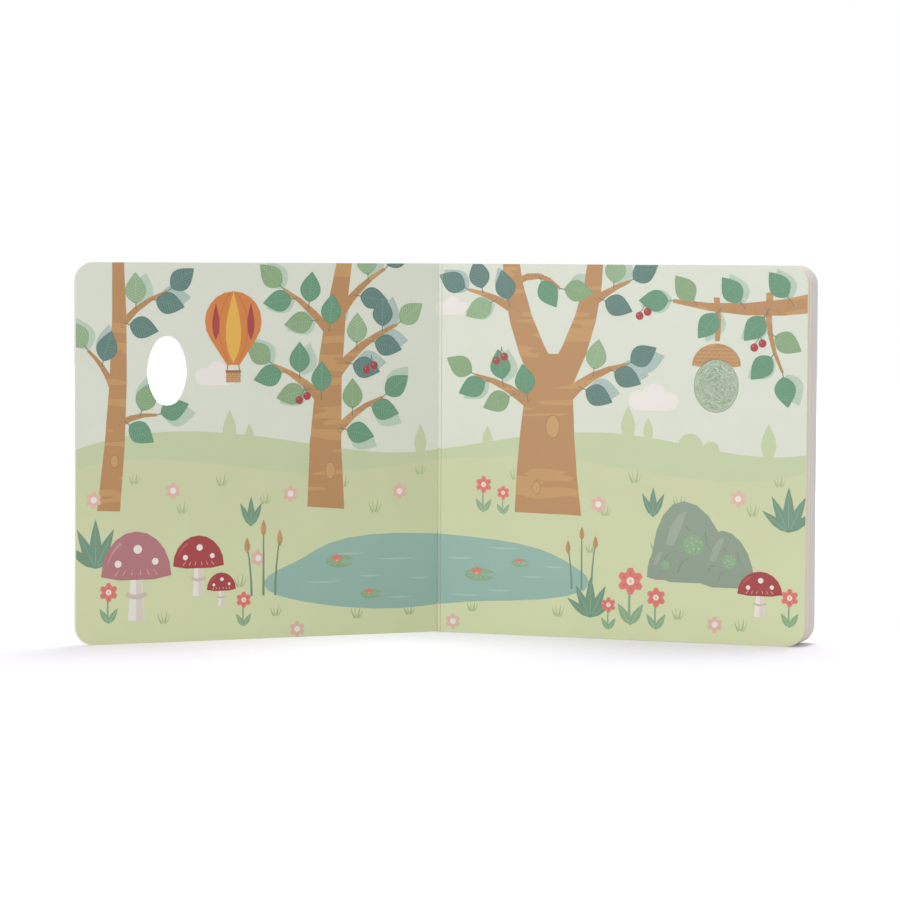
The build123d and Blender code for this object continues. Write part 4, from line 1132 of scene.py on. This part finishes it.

# Studio: a pale floor that stays white to the camera but keeps the soft shadow in front of the book, with a
# painted shadow along the foot of the page block and painted light in front of the gutter
studio = {
    "floorSize": 8.0, "floorPaint": tint(235, 235, 234), "floorSeen": tint(242, 240, 247),
    "glow": (0.14, 1.0), "glowReach": (0.3, 1.2),
    # gutterGlow, gutterReach and gutterAhead: painted light, a pool of extra glow on the floor in front of
    # the gutter
    "gutterGlow": 0.2, "gutterReach": 0.13, "gutterAhead": 0.055,
    # contactReach, contactShade and contactSpan: the painted shadow along the page block's foot
    "contactReach": 6 * mm, "contactShade": 0.7, "contactSpan": (0.58, 0.92), "skyLight": 0.6,
}
lamps = {  # place, size and power
    "keyLamp": ((-0.75, -2.3, 0.9), 1.5, 17.5),
    "fillLamp": ((1.9, -1.3, 0.9), 1.6, 2.0),
    "topLamp": ((0.15, 0.7, 1.85), 1.3, 16.0),
}


def showToCamera(tree, lit, shown, output):  # shown takes the place of lit, also in metal and through glass
    rays = shading(tree, "LightPath")
    seen = calc(tree, "MAXIMUM", rays["Is Camera Ray"], rays["Is Glossy Ray"])
    seen = calc(tree, "MAXIMUM", seen, rays["Is Transmission Ray"])
    choice = shading(tree, "MixShader", {0: seen, 1: lit, 2: shown})[0]
    tree.links.new(choice, tree.nodes[output].inputs["Surface"])


def floorPaint():
    made, tree = newMaterial("studioFloor", studio["floorPaint"], 0.9)
    place = objectPlace(tree)
    far = shading(tree, "VectorMath", {0: place}, operation="LENGTH")["Value"]
    glowFar = between(tree, far, *studio["glow"], *studio["glowReach"])
    # Painted light: extra camera-only glow on the floor in front of the gutter lightens the shade between
    # the pages
    gutterFront = (coverHinge.x, coverHinge.y - studio["gutterAhead"], 0)
    fromGutter = shading(tree, "VectorMath", {0: place, 1: gutterFront}, operation="DISTANCE")["Value"]
    glowGutter = between(tree, fromGutter, studio["gutterGlow"], 0, 0, studio["gutterReach"])
    # Painted shadow: to the camera, the floor along the foot of the page block is darkened by ambient
    # occlusion, so a dark contact line lies under the block and not under the cover
    beside = between(tree, axes(tree, place)[0], 1, 0, coverHinge.x, facingLow.x)
    airy = shading(tree, "AmbientOcclusion", {"Distance": studio["contactReach"]}, samples=8)["AO"]
    airy = calc(tree, "MAXIMUM", airy, beside)
    contact = between(tree, airy, studio["contactShade"], 1, *studio["contactSpan"])
    strength = times(tree, plus(tree, glowFar, glowGutter), contact)
    body = shading(tree, "BsdfDiffuse", {"Color": shaded(tree, studio["floorSeen"], contact)})[0]
    glow = shading(tree, "Emission", {"Strength": strength})[0]
    both = shading(tree, "AddShader", {0: body, 1: glow})[0]
    showToCamera(tree, tree.nodes["Principled BSDF"].outputs[0], both, "Material Output")
    return made


def layFloor():
    build = bmesh.new()
    bmesh.ops.create_grid(build, x_segments=1, y_segments=1, size=studio["floorSize"] / 2)
    meshPiece("floor", meshOf(build, "floor"), floorPaint())


def hangLamp(name, place, size, power):
    lamp = bpy.data.lights.new(name, "AREA")
    lamp.shape = "DISK"
    lamp.size = size
    lamp.energy = power
    lampObject = bpy.data.objects.new(name, lamp)
    lampObject.location = place
    aim = Vector((0, 0, pageHeight / 2)) - Vector(place)
    lampObject.rotation_euler = aim.to_track_quat("-Z", "Y").to_euler()
    bpy.context.scene.collection.objects.link(lampObject)


def paintWorld():
    world = bpy.data.worlds.new("studioWorld")
    world.use_nodes = True
    tree = world.node_tree
    light = tree.nodes["Background"]
    light.inputs["Color"].default_value = (1, 1, 1, 1)
    light.inputs["Strength"].default_value = studio["skyLight"]
    backdrop = shading(tree, "Background", {"Color": (1, 1, 1, 1)})[0]
    showToCamera(tree, light.outputs[0], backdrop, "World Output")
    bpy.context.scene.world = world


# Camera: low, from the right of the gutter, with a long lens
view = {
    "place": (0.6519, -1.7832, 0.206), "turn": 20.043, "tip": -3.12, "roll": 0.3,
    "lens": 145.0, "sensor": 36,
}


def setCamera():
    camera = bpy.data.cameras.new("camera")
    camera.lens = view["lens"]
    camera.sensor_width = view["sensor"]
    cameraObject = bpy.data.objects.new("camera", camera)
    aim = Matrix.Translation(view["place"])
    for turn, axis in ((view["turn"], "Z"), (90 + view["tip"], "X"), (view["roll"], "Z")):
        aim = aim @ Matrix.Rotation(radians(turn), 4, axis)
    cameraObject.matrix_world = aim
    bpy.context.scene.collection.objects.link(cameraObject)
    bpy.context.scene.camera = cameraObject


bpy.context.scene.view_settings.view_transform = "Standard"
layFloor()
for lampName, lampFacts in lamps.items():
    hangLamp(lampName, *lampFacts)
paintWorld()
setCamera()
print("studio and camera set")
